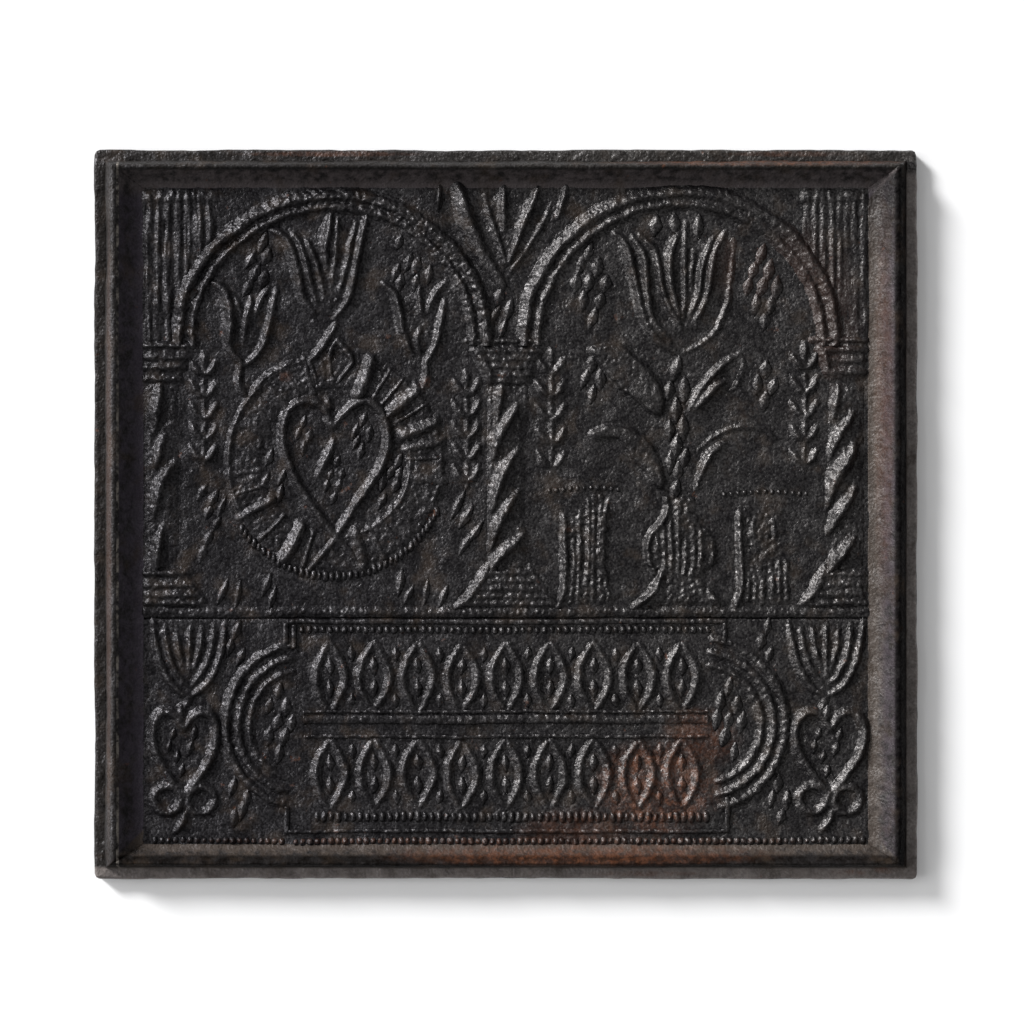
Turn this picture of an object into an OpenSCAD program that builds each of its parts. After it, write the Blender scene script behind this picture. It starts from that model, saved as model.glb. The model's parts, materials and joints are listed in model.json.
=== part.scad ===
// A cast-iron fireback: a flat plate with a moulded rim round a carved relief panel.
// It stands upright, with +Z up, +X to the viewer's right and the relief facing -Y.
// The origin is on the floor, under the middle of the plate's width and of its depth.
// Each moulding and each carved motif is a closed solid of its own on the plate's face.

/* [Plate] */
// Overall width over the outer flange
plate_w = 700; // [660:5:740]
// Overall height over the outer flange
plate_h = 620; // [600:5:650]
// Thickness of the flat plate
plate_t = 10; // [7:0.5:14]
// Radius of the plate's corners
corner_r = 4; // [1:0.5:8]

/* [Rim] */
// Width of the thin flange outside the rim
flange_w = 10; // [6:0.5:14]
// Height of the rim's crest over the plate
rim_rise = 16; // [12:0.5:20]
// Width of the rim's moulding on the left and on the right
rim_side_w = 32.5; // [26:0.5:38]
// Width of the rim's moulding along the top
rim_top_w = 23; // [18:0.5:28]
// Width of the rim's moulding along the bottom
rim_bottom_w = 20; // [15:0.5:25]

/* [Architecture] */
// Height of the seam between the lower board and the upper board
seam_z = 222; // [210:1:234]
// Height at which the arches spring
spring_z = 457; // [445:1:465]
// Height of the open groove of the seam
seam_gap = 1.5; // [1:0.1:2.5]
// Height of the thin string course over the seam
string_h = 8; // [5:0.5:10]
// Projection of the string course
string_t = 2.5; // [1.5:0.5:4]
// Width of the shafts at the two sides
side_col_w = 28; // [24:1:32]
// Width of the shaft in the middle
mid_col_w = 31; // [27:1:35]
// Projection of a shaft
col_t = 4; // [3:0.5:6]
// Projection of the twisted bands over a shaft
band_t = 2; // [1:0.5:3]
// How far the bands stop short of a shaft's edges
band_inset = 1; // [0.5:0.5:3]
// Height of one twist of a column's bands
twist_pitch = 32; // [26:1:40]
// Height of a capital
cap_h = 36; // [30:1:42]
// Height of a column's base
base_h = 29; // [24:1:34]
// How far the widest course of a capital or base passes a shaft
course_reach = 17; // [12:0.5:19]
// Projection of the capitals and bases
order_t = 6; // [4:0.5:8]

/* [Arches] */
// Width of an arch's round roll
roll_w = 8; // [6:0.5:9]
// Projection of the rolls
roll_t = 6; // [4:0.5:8]
// Clear groove between the two rolls
roll_gap = 2.5; // [1.5:0.5:4]
// Gap between an arch's crown and the rim
crown_gap = 2; // [1:0.5:5]
// Distance between the reeds in the upper corners
reed_pitch = 6.3; // [5.5:0.1:8]
// Width of one reed
reed_w = 3.2; // [2:0.1:4]
// Number of reeds in each corner
reed_count = 11; // [8:1:11]
// Gap between a reed's foot and the arch under it
reed_gap = 1; // [0.5:0.5:3]
// Depth of the band over the reeds
reed_band_h = 12; // [8:0.5:14]

/* [Carving] */
// Projection of the flowers' petals
petal_t = 4; // [3:0.5:6]
// Projection of hearts, rings and scrolls
scroll_t = 4.5; // [3:0.5:6]
// Projection of the small lozenges
lozenge_t = 3; // [2:0.5:4]
// Half of a lozenge's width
lozenge_hw = 3.3; // [2.5:0.1:3.4]
// Half of a lozenge's height
lozenge_hh = 5.8; // [4.5:0.1:5.9]
// Projection of the vase and its pedestals
vase_t = 3.5; // [2.5:0.5:5]
// Projection of the flutes over the vase and the pedestals
flute_t = 1.5; // [1:0.5:2.5]
// Projection of the beads
bead_t = 2.5; // [1.5:0.5:4]
// Half of a bead's width
bead_hw = 2.3; // [1.5:0.1:2.5]
// Distance between beads
bead_pitch = 7.2; // [6.5:0.1:9]

/* [Hidden] */

iron = [0.17, 0.165, 0.16];
worn_iron = [0.23, 0.22, 0.21];

// Depth: the plate's back is at back_y, its carved face at face_y.
depth = plate_t + rim_rise;
back_y = depth / 2;
face_y = back_y - plate_t;

// The panel inside the rim.
panel_hw = plate_w / 2 - flange_w - rim_side_w;
panel_bottom = flange_w + rim_bottom_w;
panel_top = plate_h - flange_w - rim_top_w;

// The orders: the shafts stand between the string course and the springing.
string_top = seam_z + seam_gap + string_h;
shaft_bottom = string_top + base_h;
shaft_top = spring_z - cap_h;
side_col_x = panel_hw - side_col_w / 2;

// Each arch stands between the inner faces of its two shafts.
bay_x = (mid_col_w / 2 + panel_hw - side_col_w) / 2;
bay_hw = (panel_hw - side_col_w - mid_col_w / 2) / 2;
arch_rise = panel_top - spring_z - crown_gap - roll_w / 2;
roll_step = roll_w + roll_gap;

// The opening inside the inner roll.
clear_hw = bay_hw - roll_step - roll_w / 2;
clear_rise = arch_rise - roll_step - roll_w / 2;

// The carving is drawn on a grid of round figures. A bay's opening on the grid is grid_hw wide
// each side of its middle, grid_up high over the springing and grid_down deep under it; the
// lower board is low_grid_hw wide each side of the middle and low_grid_h deep. The grid
// stretches with the part, so the motifs keep their places inside the rolls and the rim.
grid_hw = 117.5;
grid_up = 109.5;
grid_down = 225;
low_grid_hw = 307.5;
low_grid_h = 192;
bay_kx = clear_hw / grid_hw;
up_k = clear_rise / grid_up;
down_k = (spring_z - string_top) / grid_down;
low_kx = panel_hw / low_grid_hw;
low_kz = (seam_z - panel_bottom) / low_grid_h;

// Points of a carving in the left bay (side -1), the right bay (1) or between them (0).
function in_bay(side, pts) = [for (p = pts)
    [side * bay_x + p.x * bay_kx, spring_z + p.y * (p.y > 0 ? up_k : down_k)]];

// Points of a carving on the lower board, measured down from the seam.
function in_low(pts) = [for (p = pts) [p.x * low_kx, seam_z + p.y * low_kz]];

// A smooth line through a few points, with k steps from each point to the next.
function knot(a, b, c, d, t) = 0.5 * (2 * b + (c - a) * t + (2 * a - 5 * b + 4 * c - d) * t * t
    + (3 * b - a - 3 * c + d) * t * t * t);
function smooth(p, k = 4) = let (n = len(p) - 1)
    [for (i = [0 : n - 1], j = [0 : k - 1])
        knot(p[max(i - 1, 0)], p[i], p[i + 1], p[min(i + 2, n)], j / k), p[n]];

// A stroke of half width w along a line; tip is the share of w left at its two ends.
function side_step(p, i) = let (d = p[min(i + 1, len(p) - 1)] - p[max(i - 1, 0)])
    [-d.y, d.x] / norm(d);
function swell(t, tip) = tip + (1 - tip) * sin(180 * t);
function stroke(p, w, tip = 0.2) = let (n = len(p) - 1)
    [for (i = [0 : n]) p[i] + side_step(p, i) * w * swell(i / n, tip),
     for (i = [n : -1 : 0]) p[i] - side_step(p, i) * w * swell(i / n, tip)];

// An arc of an ellipse from angle a to angle b.
function arc(c, rx, rz, a, b, n = 32) =
    [for (i = [0 : n]) let (t = a + (b - a) * i / n) c + [rx * cos(t), rz * sin(t)]];

// A lozenge, leaning by turn degrees.
function lozenge(c, turn = 0) =
    [for (q = [[lozenge_hw, 0], [0, lozenge_hh], [-lozenge_hw, 0], [0, -lozenge_hh]])
        c + [q.x * cos(turn) - q.y * sin(turn), q.x * sin(turn) + q.y * cos(turn)]];

// Extrudes an outline towards the viewer, off the plate's face or off a step over it.
module relief(t, step = 0) {
    translate([0, face_y - step, 0])
        rotate([90, 0, 0])
            linear_extrude(t)
                children();
}

// A stroke in a bay or on the lower board.
module bay_stroke(side, pts, w, tip = 0.2) {
    polygon(in_bay(side, stroke(smooth(pts), w, tip)));
}

module low_stroke(pts, w, tip = 0.2) {
    polygon(in_low(stroke(smooth(pts), w, tip)));
}

// Lozenges in a bay, each given as its place and its lean.
module bay_lozenges(side, places, turn = 0) {
    for (c = places) polygon(in_bay(side, lozenge(c, turn)));
}

module low_lozenges(places, turn = 0) {
    for (c = places) polygon(in_low(lozenge(c, turn)));
}

// Small upright beads from x = a to x = b at one height.
module bead_row(a, b, z, half_h) {
    count = floor((b - a - 2 * bead_hw) / bead_pitch) + 1;
    start = (a + b) / 2 - (count - 1) * bead_pitch / 2;
    for (i = [0 : count - 1])
        translate([start + i * bead_pitch - bead_hw, z - half_h])
            square([2 * bead_hw, 2 * half_h]);
}

// ---- the plate and its rim ----

module back_plate() color(iron) {
    translate([0, back_y, 0]) rotate([90, 0, 0]) linear_extrude(plate_t) {
        translate([corner_r - plate_w / 2, 0]) square([plate_w - 2 * corner_r, plate_h]);
        translate([-plate_w / 2, corner_r]) square([plate_w, plate_h - 2 * corner_r]);
        for (x = [-1, 1], z = [corner_r, plate_h - corner_r])
            translate([x * (plate_w / 2 - corner_r), z]) circle(corner_r, $fn = 32);
    }
}

// The rim's section: across from its outer foot as a share of its width, and up as a share
// of its rise. A steep outer face, a round crest and a long hollow slope to the panel.
rim_section = [[0, 0], [0.06, 0.42], [0.16, 0.84], [0.26, 0.98], [0.36, 1], [0.44, 0.92],
    [0.56, 0.66], [0.7, 0.4], [0.84, 0.19], [1, 0]];

outer_x = plate_w / 2 - flange_w;
outer_z = plate_h - flange_w;

// The plan of the left moulding and of the bottom one, cut on the mitres.
side_plan = [[-outer_x, flange_w], [-panel_hw, panel_bottom], [-panel_hw, panel_top],
    [-outer_x, outer_z]];
bottom_plan = [[-outer_x, flange_w], [outer_x, flange_w], [panel_hw, panel_bottom],
    [-panel_hw, panel_bottom]];
top_plan = [[-outer_x, outer_z], [outer_x, outer_z], [panel_hw, panel_top],
    [-panel_hw, panel_top]];

module side_rim() {
    intersection() {
        linear_extrude(plate_h)
            polygon([for (s = rim_section)
                [-outer_x + s.x * rim_side_w, face_y - s.y * rim_rise]]);
        relief(rim_rise) polygon(side_plan);
    }
}

// A level moulding whose foot is at height z; way is 1 where it slopes upwards to the panel.
module level_rim(z, way, width, plan) {
    intersection() {
        translate([-plate_w / 2, 0, 0]) rotate([90, 0, 90]) linear_extrude(plate_w)
            polygon([for (s = rim_section)
                [face_y - s.y * rim_rise, z + way * s.x * width]]);
        relief(rim_rise) polygon(plan);
    }
}

module rim_left() color(worn_iron) side_rim();

module rim_right() color(worn_iron) mirror([1, 0, 0]) side_rim();

module rim_top() color(worn_iron) level_rim(outer_z, -1, rim_top_w, top_plan);

module rim_bottom() color(worn_iron) level_rim(flange_w, 1, rim_bottom_w, bottom_plan);

// ---- the columns ----

module string_course() color(iron) {
    relief(string_t)
        translate([-panel_hw, string_top - string_h]) square([2 * panel_hw, string_h]);
}

// A flat shaft with bands that climb to the right round it.
module shaft(x, w) {
    h = shaft_top - shaft_bottom;
    half = w / 2 - band_inset;
    band_hw = 0.16 * twist_pitch;
    lean = 0.8 * w;
    twists = floor((h - lean - 2 * band_hw) / twist_pitch) + 1;
    first = shaft_bottom + (h - (twists - 1) * twist_pitch - lean) / 2;
    relief(col_t) translate([x - w / 2, shaft_bottom]) square([w, h]);
    relief(band_t, col_t)
        for (i = [0 : twists - 1]) let (z = first + i * twist_pitch)
            polygon([[x - half, z - band_hw], [x + half, z + lean - band_hw],
                [x + half, z + lean + band_hw], [x - half, z + band_hw]]);
}

module column_left() color(iron) shaft(-side_col_x, side_col_w);
module column_centre() color(iron) shaft(0, mid_col_w);
module column_right() color(iron) shaft(side_col_x, side_col_w);

// Courses of a capital or a base: [share of the height, share of the reach, share of the
// projection], listed from the shaft outwards. They widen on the sides named by left, right.
capital_courses = [[0.16, 0.15, 0.75], [0.2, 0.3, 1], [0.22, 0.5, 0.8], [0.22, 0.75, 0.9],
    [0.2, 1, 1]];
base_courses = [[0.18, 0.1, 1], [0.2, 0.35, 0.75], [0.2, 0.6, 0.9], [0.22, 0.8, 0.75],
    [0.2, 1, 1]];

function run_to(list, i, k = 0) = k >= i ? 0 : list[k][0] + run_to(list, i, k + 1);

// way is 1 for a capital, which builds up from the shaft, and -1 for a base.
module courses(list, x, w, left, right, z, h, way) {
    for (i = [0 : len(list) - 1]) {
        low = z + way * h * run_to(list, i);
        tall = h * list[i][0];
        reach = course_reach * list[i][1];
        relief(order_t * list[i][2])
            translate([x - w / 2 - left * reach, way > 0 ? low : low - tall])
                square([w + (left + right) * reach, tall]);
    }
}

module capital(x, w, left, right) {
    courses(capital_courses, x, w, left, right, shaft_top, cap_h, 1);
}

module base(x, w, left, right) {
    courses(base_courses, x, w, left, right, shaft_bottom, base_h, -1);
}

module capital_left() color(iron) capital(-side_col_x, side_col_w, 0, 1);
module capital_centre() color(iron) capital(0, mid_col_w, 1, 1);
module capital_right() color(iron) capital(side_col_x, side_col_w, 1, 0);
module base_left() color(iron) base(-side_col_x, side_col_w, 0, 1);
module base_centre() color(iron) base(0, mid_col_w, 1, 1);
module base_right() color(iron) base(side_col_x, side_col_w, 1, 0);

// ---- the arches and the reeded corners ----

// A round roll in two steps, from springing to springing; inset moves it in from the first.
module roll(side, inset) {
    c = [side * bay_x, spring_z];
    line = arc(c, bay_hw - inset, arch_rise - inset, 0, 180, 48);
    relief(0.6 * roll_t) polygon(stroke(line, roll_w / 2, 1));
    relief(0.4 * roll_t, 0.6 * roll_t) polygon(stroke(line, 0.28 * roll_w, 1));
}

module arch(side) {
    roll(side, 0);
    roll(side, roll_step);
}

module arch_left() color(worn_iron) arch(-1);
module arch_right() color(worn_iron) arch(1);

// Height of an arch's outside over the springing, x from the middle of its bay.
function extrados(x) = let (s = abs(x) / (bay_hw + roll_w / 2))
    s < 1 ? (arch_rise + roll_w / 2) * sqrt(1 - s * s) : 0;

// Upright reeds standing on the arch and the capital. They run up into the middle of the band
// over them. way is -1 on the left.
module reeds(way) {
    top = panel_top - reed_band_h;
    first = panel_hw - reed_pitch / 2;
    relief(0.7 * petal_t)
        translate([way > 0 ? first - reed_count * reed_pitch : -panel_hw, top])
            square([panel_hw - first + reed_count * reed_pitch, reed_band_h]);
    relief(petal_t)
        for (i = [0 : reed_count - 1]) {
            x = first - i * reed_pitch;
            inner = x - reed_w / 2 - bay_x;
            foot = spring_z + extrados(inner) + reed_gap;
            if (top > foot + reed_pitch)
                translate([way * x - reed_w / 2, foot])
                    square([reed_w, top - foot + reed_band_h / 2]);
        }
}

module reeds_left() color(iron) reeds(-1);
module reeds_right() color(iron) reeds(1);

// ---- the left arch ----

module tulip_left() color(worn_iron) relief(petal_t) {
    bay_stroke(-1, [[-41, 93], [-33, 70], [-24, 43], [-2, 20]], 4.5);
    bay_stroke(-1, [[-22, 88], [-15, 62], [-9, 42], [-2, 30]], 4);
    bay_stroke(-1, [[-1, 106], [-1, 82], [-1, 50]], 6, 0.1);
    bay_stroke(-1, [[20, 91], [14, 66], [8, 46], [1, 32]], 4);
    bay_stroke(-1, [[36, 100], [30, 83], [23, 60], [13, 36], [0, 20]], 4.5);
}

module bud_outer() color(worn_iron) relief(petal_t) {
    bay_stroke(-1, [[-91, 37], [-89, 12], [-77, -14]], 4);
    bay_stroke(-1, [[-72, 40], [-75, 12], [-76, -10]], 3.5);
    bay_stroke(-1, [[-55, 32], [-58, 10], [-74, -14]], 4);
    bay_stroke(-1, [[-76, -17], [-78, -33], [-70, -43]], 2.5);
}

module bud_inner() color(worn_iron) relief(petal_t) {
    bay_stroke(-1, [[52, 43], [56, 18], [62, -2], [75, -14]], 4);
    bay_stroke(-1, [[73, 44], [74, 16], [77, -10]], 3.5);
    bay_stroke(-1, [[93, 47], [92, 24], [88, 4], [78, -14]], 4);
    bay_stroke(-1, [[77, -17], [79, -30], [74, -42]], 2.5);
}

// The small pointed ring between the tulip and the wreath, with a leaf beside it.
module crown_link() color(worn_iron) relief(petal_t) {
    difference() {
        polygon(in_bay(-1, arc([5, -15], 11, 16, 0, 360)));
        polygon(in_bay(-1, arc([5, -15], 6.5, 11.5, 0, 360)));
    }
    bay_lozenges(-1, [[5, -15]]);
    bay_stroke(-1, [[-9, 10], [-14, -4], [-22, -17]], 3);
    bay_stroke(-1, [[8, 12], [14, 4], [22, -12]], 2.5);
}

wreath_c = [2, -100];
wreath_r = 64.5;
heart_gap = 16;

// A ring round the heart, open at the foot where the heart's tails cross it.
module wreath_ring() color(worn_iron) relief(scroll_t) {
    polygon(in_bay(-1, stroke(
        arc(wreath_c, wreath_r, wreath_r, -90 + heart_gap, 270 - heart_gap, 60), 2.2, 1)));
}

// Broad leaves with a narrow one between each two, left out where the crown link hangs down
// and where the tails cross.
module wreath_leaves() color(worn_iron) relief(petal_t) {
    for (i = [-3 : 3], turn = [0, 180]) let (a = 20 * i + turn, d = [cos(a), sin(a)])
        polygon(in_bay(-1, stroke(
            smooth([wreath_c + 68.5 * d, wreath_c + 80 * d, wreath_c + 91 * d]), 4.6)));
    for (i = [-3 : 2], turn = [0, 180]) let (a = 20 * i + 10 + turn, d = [cos(a), sin(a)])
        polygon(in_bay(-1, stroke(
            smooth([wreath_c + 68.5 * d, wreath_c + 79 * d, wreath_c + 89 * d]), 2)));
}

module wreath_beads() color(worn_iron) relief(bead_t) {
    bead_deg = 4.4;
    for (i = [0 : 30]) let (a = 204 + bead_deg * i)
        polygon(in_bay(-1, arc(wreath_c + 97 * [cos(a), sin(a)], bead_hw, bead_hw, 0, 315, 7)));
}

module heart_large() color(worn_iron) relief(scroll_t) {
    bay_stroke(-1, [[2, -73], [-8, -57], [-24, -51], [-38, -60], [-43, -83], [-35, -115],
        [-18, -140], [3, -160]], 3.6, 0.6);
    bay_stroke(-1, [[2, -73], [12, -58], [27, -51], [41, -61], [47, -83], [42, -109],
        [27, -135], [3, -160]], 3.6, 0.6);
    bay_stroke(-1, [[8, -152], [-8, -174], [-18, -188]], 3);
    bay_stroke(-1, [[-2, -152], [12, -172], [20, -184]], 3);
    bay_stroke(-1, [[-1, -84], [-6, -99], [-11, -113]], 2.2);
}

module lozenges_left() color(worn_iron) relief(lozenge_t) {
    // beside the large tulip
    bay_lozenges(-1, [[-64, 79], [-64, 66], [-64, 53], [57, 84], [67, 75], [61, 66], [72, 61]],
        -18);
    // inside the heart
    bay_lozenges(-1, [[-24, -69], [-28, -84], [-19, -90], [20, -68], [14, -81], [26, -84],
        [6, -101], [-1, -118], [13, -116], [-8, -130], [6, -134]], -12);
    // between the heart and the ring
    bay_lozenges(-1, [[-55, -104], [-45, -124], [54, -108], [44, -128]], -20);
    // in the lower corners of the bay
    bay_lozenges(-1, [[-106, -116], [-120, -143], [-106, -136], [-109, -154], [-97, -149],
        [-104, -168], [-114, -182], [-87, -205], [-98, -217], [-74, -209], [-52, -212],
        [-40, -205], [60, -199], [55, -213], [69, -211], [81, -207], [95, -213]], -15);
    // three leaves beside the middle column
    for (k = [0 : 2]) let (c = [107 + 7 * k, -136 - 8 * k])
        bay_stroke(-1, [c + [5, 10], c, c - [5, 12]], 2.4);
}

// A sprig: an upright stem with pairs of leaves, from foot to tip.
module sprig(side, foot, tip, pairs, reach) {
    bay_stroke(side, [foot, (foot + tip) / 2, tip], 1.8);
    for (i = [1 : pairs], way = [-1, 1]) let (p = foot + (tip - foot) * (i - 0.6) / pairs)
        bay_stroke(side, [p, p + [way * reach * 0.55, 5], p + [way * reach, 12]], 2.6);
}

module spray_left() color(worn_iron) relief(petal_t) {
    sprig(-1, [-109, -104], [-109, -20], 5, 10);
    sprig(-1, [113, -124], [113, -38], 5, 10);
}

// ---- between the arches ----

module tulip_centre() color(worn_iron) relief(petal_t) {
    bay_stroke(0, [[-44, 114], [-33, 92], [-16, 68], [-2, 50]], 4.2);
    bay_stroke(0, [[-21, 117], [-16, 96], [-6, 68]], 3.8);
    bay_stroke(0, [[0, 118], [0, 98], [0, 66]], 5, 0.1);
    bay_stroke(0, [[21, 117], [16, 96], [6, 68]], 3.8);
    bay_stroke(0, [[44, 114], [33, 92], [16, 68], [2, 50]], 4.2);
    bay_lozenges(0, [[0, 34], [0, 16]]);
}

// ---- the right arch ----

module tulip_right() color(worn_iron) relief(petal_t) {
    bay_stroke(1, [[-60, 86], [-47, 78], [-41, 53], [-37, 27], [-28, 8], [-3, -6]], 4.5);
    bay_stroke(1, [[-26, 88], [-20, 68], [-20, 45], [-13, 27], [1, 12]], 3.6);
    for (x = [-11, -3, 5, 13])
        bay_stroke(1, [[x, 90], [x, 60], [1 + 0.4 * x, 26]], 2.6);
    bay_stroke(1, [[24, 86], [20, 66], [17, 42], [3, 12]], 3);
    bay_stroke(1, [[36, 86], [29, 70], [25, 42], [13, 14]], 3);
    bay_stroke(1, [[58, 88], [45, 68], [40, 38], [32, 16], [3, -6]], 4.5);
    bay_lozenges(1, [[-18, 103], [-3, 104], [13, 103]]);
}

module lozenges_right() color(worn_iron) relief(lozenge_t) {
    // a pile of nine each side of the large tulip, and one of four under each
    for (c = [[-76, 49], [72, 43]], row = [-2 : 2], k = [0 : 2 - abs(row)])
        polygon(in_bay(1, lozenge(c + [12 * (k - (2 - abs(row)) / 2), 14 * row])));
    for (c = [[-78, -42], [76, -42]], p = [[0, 12], [-7, 0], [7, 0], [0, -12]])
        polygon(in_bay(1, lozenge(c + p)));
}

module stalk_right() color(worn_iron) relief(lozenge_t) {
    bay_lozenges(1, [[0, -24], [-5, -38], [5, -38], [0, -52], [0, -74], [-5, -88], [5, -88],
        [0, -102], [0, -116]]);
}

module vase_leaves() color(worn_iron) relief(petal_t) {
    bay_stroke(1, [[-84, -5], [-55, -12], [-30, -32], [-12, -62]], 8.5, 0.12);
    bay_stroke(1, [[64, -12], [40, -26], [22, -44], [8, -64]], 8, 0.12);
    bay_stroke(1, [[-84, -82], [-56, -76], [-30, -88], [-13, -116]], 8, 0.12);
    bay_stroke(1, [[66, -74], [44, -78], [24, -94], [9, -118]], 7.5, 0.12);
}

// The vase's outline, from lip to foot, and its upright flutes.
vase_side = [[17, -137], [14, -150], [27, -162], [32, -176], [29, -189], [17, -203],
    [24, -212], [38, -222]];

module vase() color(worn_iron) {
    relief(vase_t)
        polygon(in_bay(1, concat(smooth(vase_side), [for (i = [len(vase_side) - 1 : -1 : 0])
            [-vase_side[i].x, vase_side[i].y]])));
    relief(flute_t, vase_t)
        for (x = [-21 : 7 : 21])
            bay_stroke(1, [[0.55 * x, -142], [0.6 * x, -152], [x, -172], [0.7 * x, -200]], 1.7);
}

// A fluted pedestal that flares at its foot.
module pedestal(x, w, flutes) {
    foot = w / 2 + 5;
    relief(vase_t)
        polygon(in_bay(1, [[x - w / 2, -134], [x + w / 2, -134], [x + w / 2, -206],
            [x + foot, -222], [x - foot, -222], [x - w / 2, -206]]));
    relief(flute_t, vase_t)
        for (i = [0 : flutes - 1]) let (fx = x + (i - (flutes - 1) / 2) * (w - 4) / flutes)
            bay_stroke(1, [[fx, -136], [fx, -178], [x + (fx - x) * 1.1, -220]], 1.7, 0.5);
}

module pedestal_left() color(worn_iron) pedestal(-79, 44, 7);
module pedestal_right() color(worn_iron) pedestal(72, 46, 7);

module altar_beads() color(worn_iron) relief(bead_t) {
    z = in_bay(1, [[0, -127]])[0].y;
    for (run = [[-106, -50], [44, 106]]) let (ends = in_bay(1, [[run[0], 0], [run[1], 0]]))
        bead_row(ends[0].x, ends[1].x, z, bead_hw);
}

module spray_right() color(worn_iron) relief(petal_t) {
    sprig(1, [-109, -112], [-109, -12], 6, 11);
    sprig(1, [107, -112], [107, -4], 6, 10);
}

// ---- the lower board ----

tablet_hw = 172;
rule_hh = 1.5;
side_bar_x = tablet_hw + 12;
bar_hw = 2;
upper_z = -46;
lower_z = -133;
band_hh = 30;

// Thin upright and level rules that frame the two bands of the tablet.
module tablet_frame() color(worn_iron) relief(petal_t) {
    wide = side_bar_x + bar_hw;
    for (r = [[wide, -3.5], [tablet_hw, -81], [tablet_hw, -88], [tablet_hw, -99],
        [wide, -181.5]])
        polygon(in_low([[-r[0], r[1] - rule_hh], [r[0], r[1] - rule_hh],
            [r[0], r[1] + rule_hh], [-r[0], r[1] + rule_hh]]));
    for (x = [-side_bar_x, side_bar_x], run = [[-17, -3.5], [-181.5, -162]])
        polygon(in_low([[x - bar_hw, run[0]], [x + bar_hw, run[0]], [x + bar_hw, run[1]],
            [x - bar_hw, run[1]]]));
}

module tablet_beads() color(worn_iron) relief(bead_t) {
    for (z = [-10.5, -170]) let (ends = in_low([[-tablet_hw, z], [tablet_hw, z]]))
        bead_row(ends[0].x, ends[1].x, ends[0].y, 1.5 * bead_hw);
}

module foot_beads() color(worn_iron) relief(bead_t) {
    ends = in_low([[4 - side_bar_x, -188], [low_grid_hw - 3, -188]]);
    bead_row(ends[0].x, ends[1].x, ends[0].y, bead_hw);
}

// One unit of the tablet's fill: a leafed lozenge between two upright leaves.
module fill_unit(x, z, hw) {
    for (way = [-1, 1]) {
        low_stroke([[x + way * 3, z - band_hh], [x + way * 0.55 * hw, z - 0.4 * band_hh],
            [x + way * 0.7 * hw, z], [x + way * 0.5 * hw, z + 0.5 * band_hh],
            [x + way * 3, z + band_hh]], 3.2, 0.3);
        low_lozenges([[x, z + way * 0.35 * band_hh]]);
    }
}

// A band of equal units side by side, with a small lozenge between neighbours.
module fill_band(z, units) {
    pitch = 2 * (tablet_hw - 8) / units;
    for (i = [0 : units - 1]) fill_unit((i - (units - 1) / 2) * pitch, z, pitch / 2);
    for (i = [1 : units - 1], k = [-0.8, 0.8])
        low_lozenges([[(i - units / 2) * pitch, z + k * (band_hh - 6)]]);
}

module fill_upper() color(worn_iron) relief(scroll_t) fill_band(upper_z, 8);
module fill_lower() color(worn_iron) relief(scroll_t) fill_band(lower_z, 7);

// The flowers and the hearts stand side_gap in from the rim. The C scrolls that end the tablet
// reach out from it to scroll_gap off the hearts.
line_hw = 3.2;
petal_hw = 3.6;
heart_low_hw = 28;
tulip_low_hw = 31;
side_gap = 1.3;
scroll_gap = 2.6;
heart_x = low_grid_hw - side_gap - line_hw - heart_low_hw;
tulip_x = low_grid_hw - side_gap - petal_hw - tulip_low_hw;
scroll_left_x = tablet_hw + 4;
scroll_right_x = tablet_hw - 1;
ring_steps = [0, 9, 19];
function scroll_r(x) = heart_x - heart_low_hw - scroll_gap - 2 * line_hw - x;

// Three nested arcs about a point x out from the middle and z under the seam. way is 1 where
// the scroll opens to the right.
module end_scroll(way, x, z) {
    for (i = [0 : 2])
        let (r = scroll_r(x) - ring_steps[i], line = arc([0, 0], r, r + 4, 102, 254))
            polygon(in_low([for (p = stroke(line, line_hw - 0.6 * i, 0.5))
                [way * (p.x - x), z + p.y]]));
}

module scroll_left() color(worn_iron) relief(scroll_t) end_scroll(1, scroll_left_x, -92);
module scroll_right() color(worn_iron) relief(scroll_t) end_scroll(-1, scroll_right_x, -90);

module tulip_low(x) {
    for (way = [-1, 1]) {
        low_stroke([[x + way * tulip_low_hw, -6], [x + way * 27, -30], [x + way * 17, -54],
            [x, -70]], petal_hw);
        low_stroke([[x + way * 16, -8], [x + way * 14, -30], [x + way * 8, -50],
            [x + way, -62]], 3);
    }
    low_stroke([[x, -10], [x, -30], [x, -56]], 3.4, 0.1);
}

module tulip_low_left() color(worn_iron) relief(petal_t) tulip_low(-tulip_x);
module tulip_low_right() color(worn_iron) relief(petal_t) tulip_low(tulip_x);

// A heart whose tip curls into two loops, with a small tail.
module heart_low(x) {
    for (way = [-1, 1]) {
        low_stroke([[x, -96], [x + way * 11, -84], [x + way * 22, -87],
            [x + way * heart_low_hw, -106], [x + way * 20, -126], [x, -146]], line_hw, 0.6);
        difference() {
            polygon(in_low(arc([x + way * 15, -153], 12.5, 12.5, 0, 360)));
            polygon(in_low(arc([x + way * 15, -153], 7.5, 7.5, 0, 360)));
        }
    }
    low_stroke([[x + 3, -162], [x, -170], [x - 4, -178]], 2.6);
    low_lozenges([[x - 10, -102], [x + 9, -104], [x - 6, -117], [x + 4, -122]]);
}

module heart_low_left() color(worn_iron) relief(scroll_t) heart_low(-heart_x);
module heart_low_right() color(worn_iron) relief(scroll_t) heart_low(heart_x);

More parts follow.
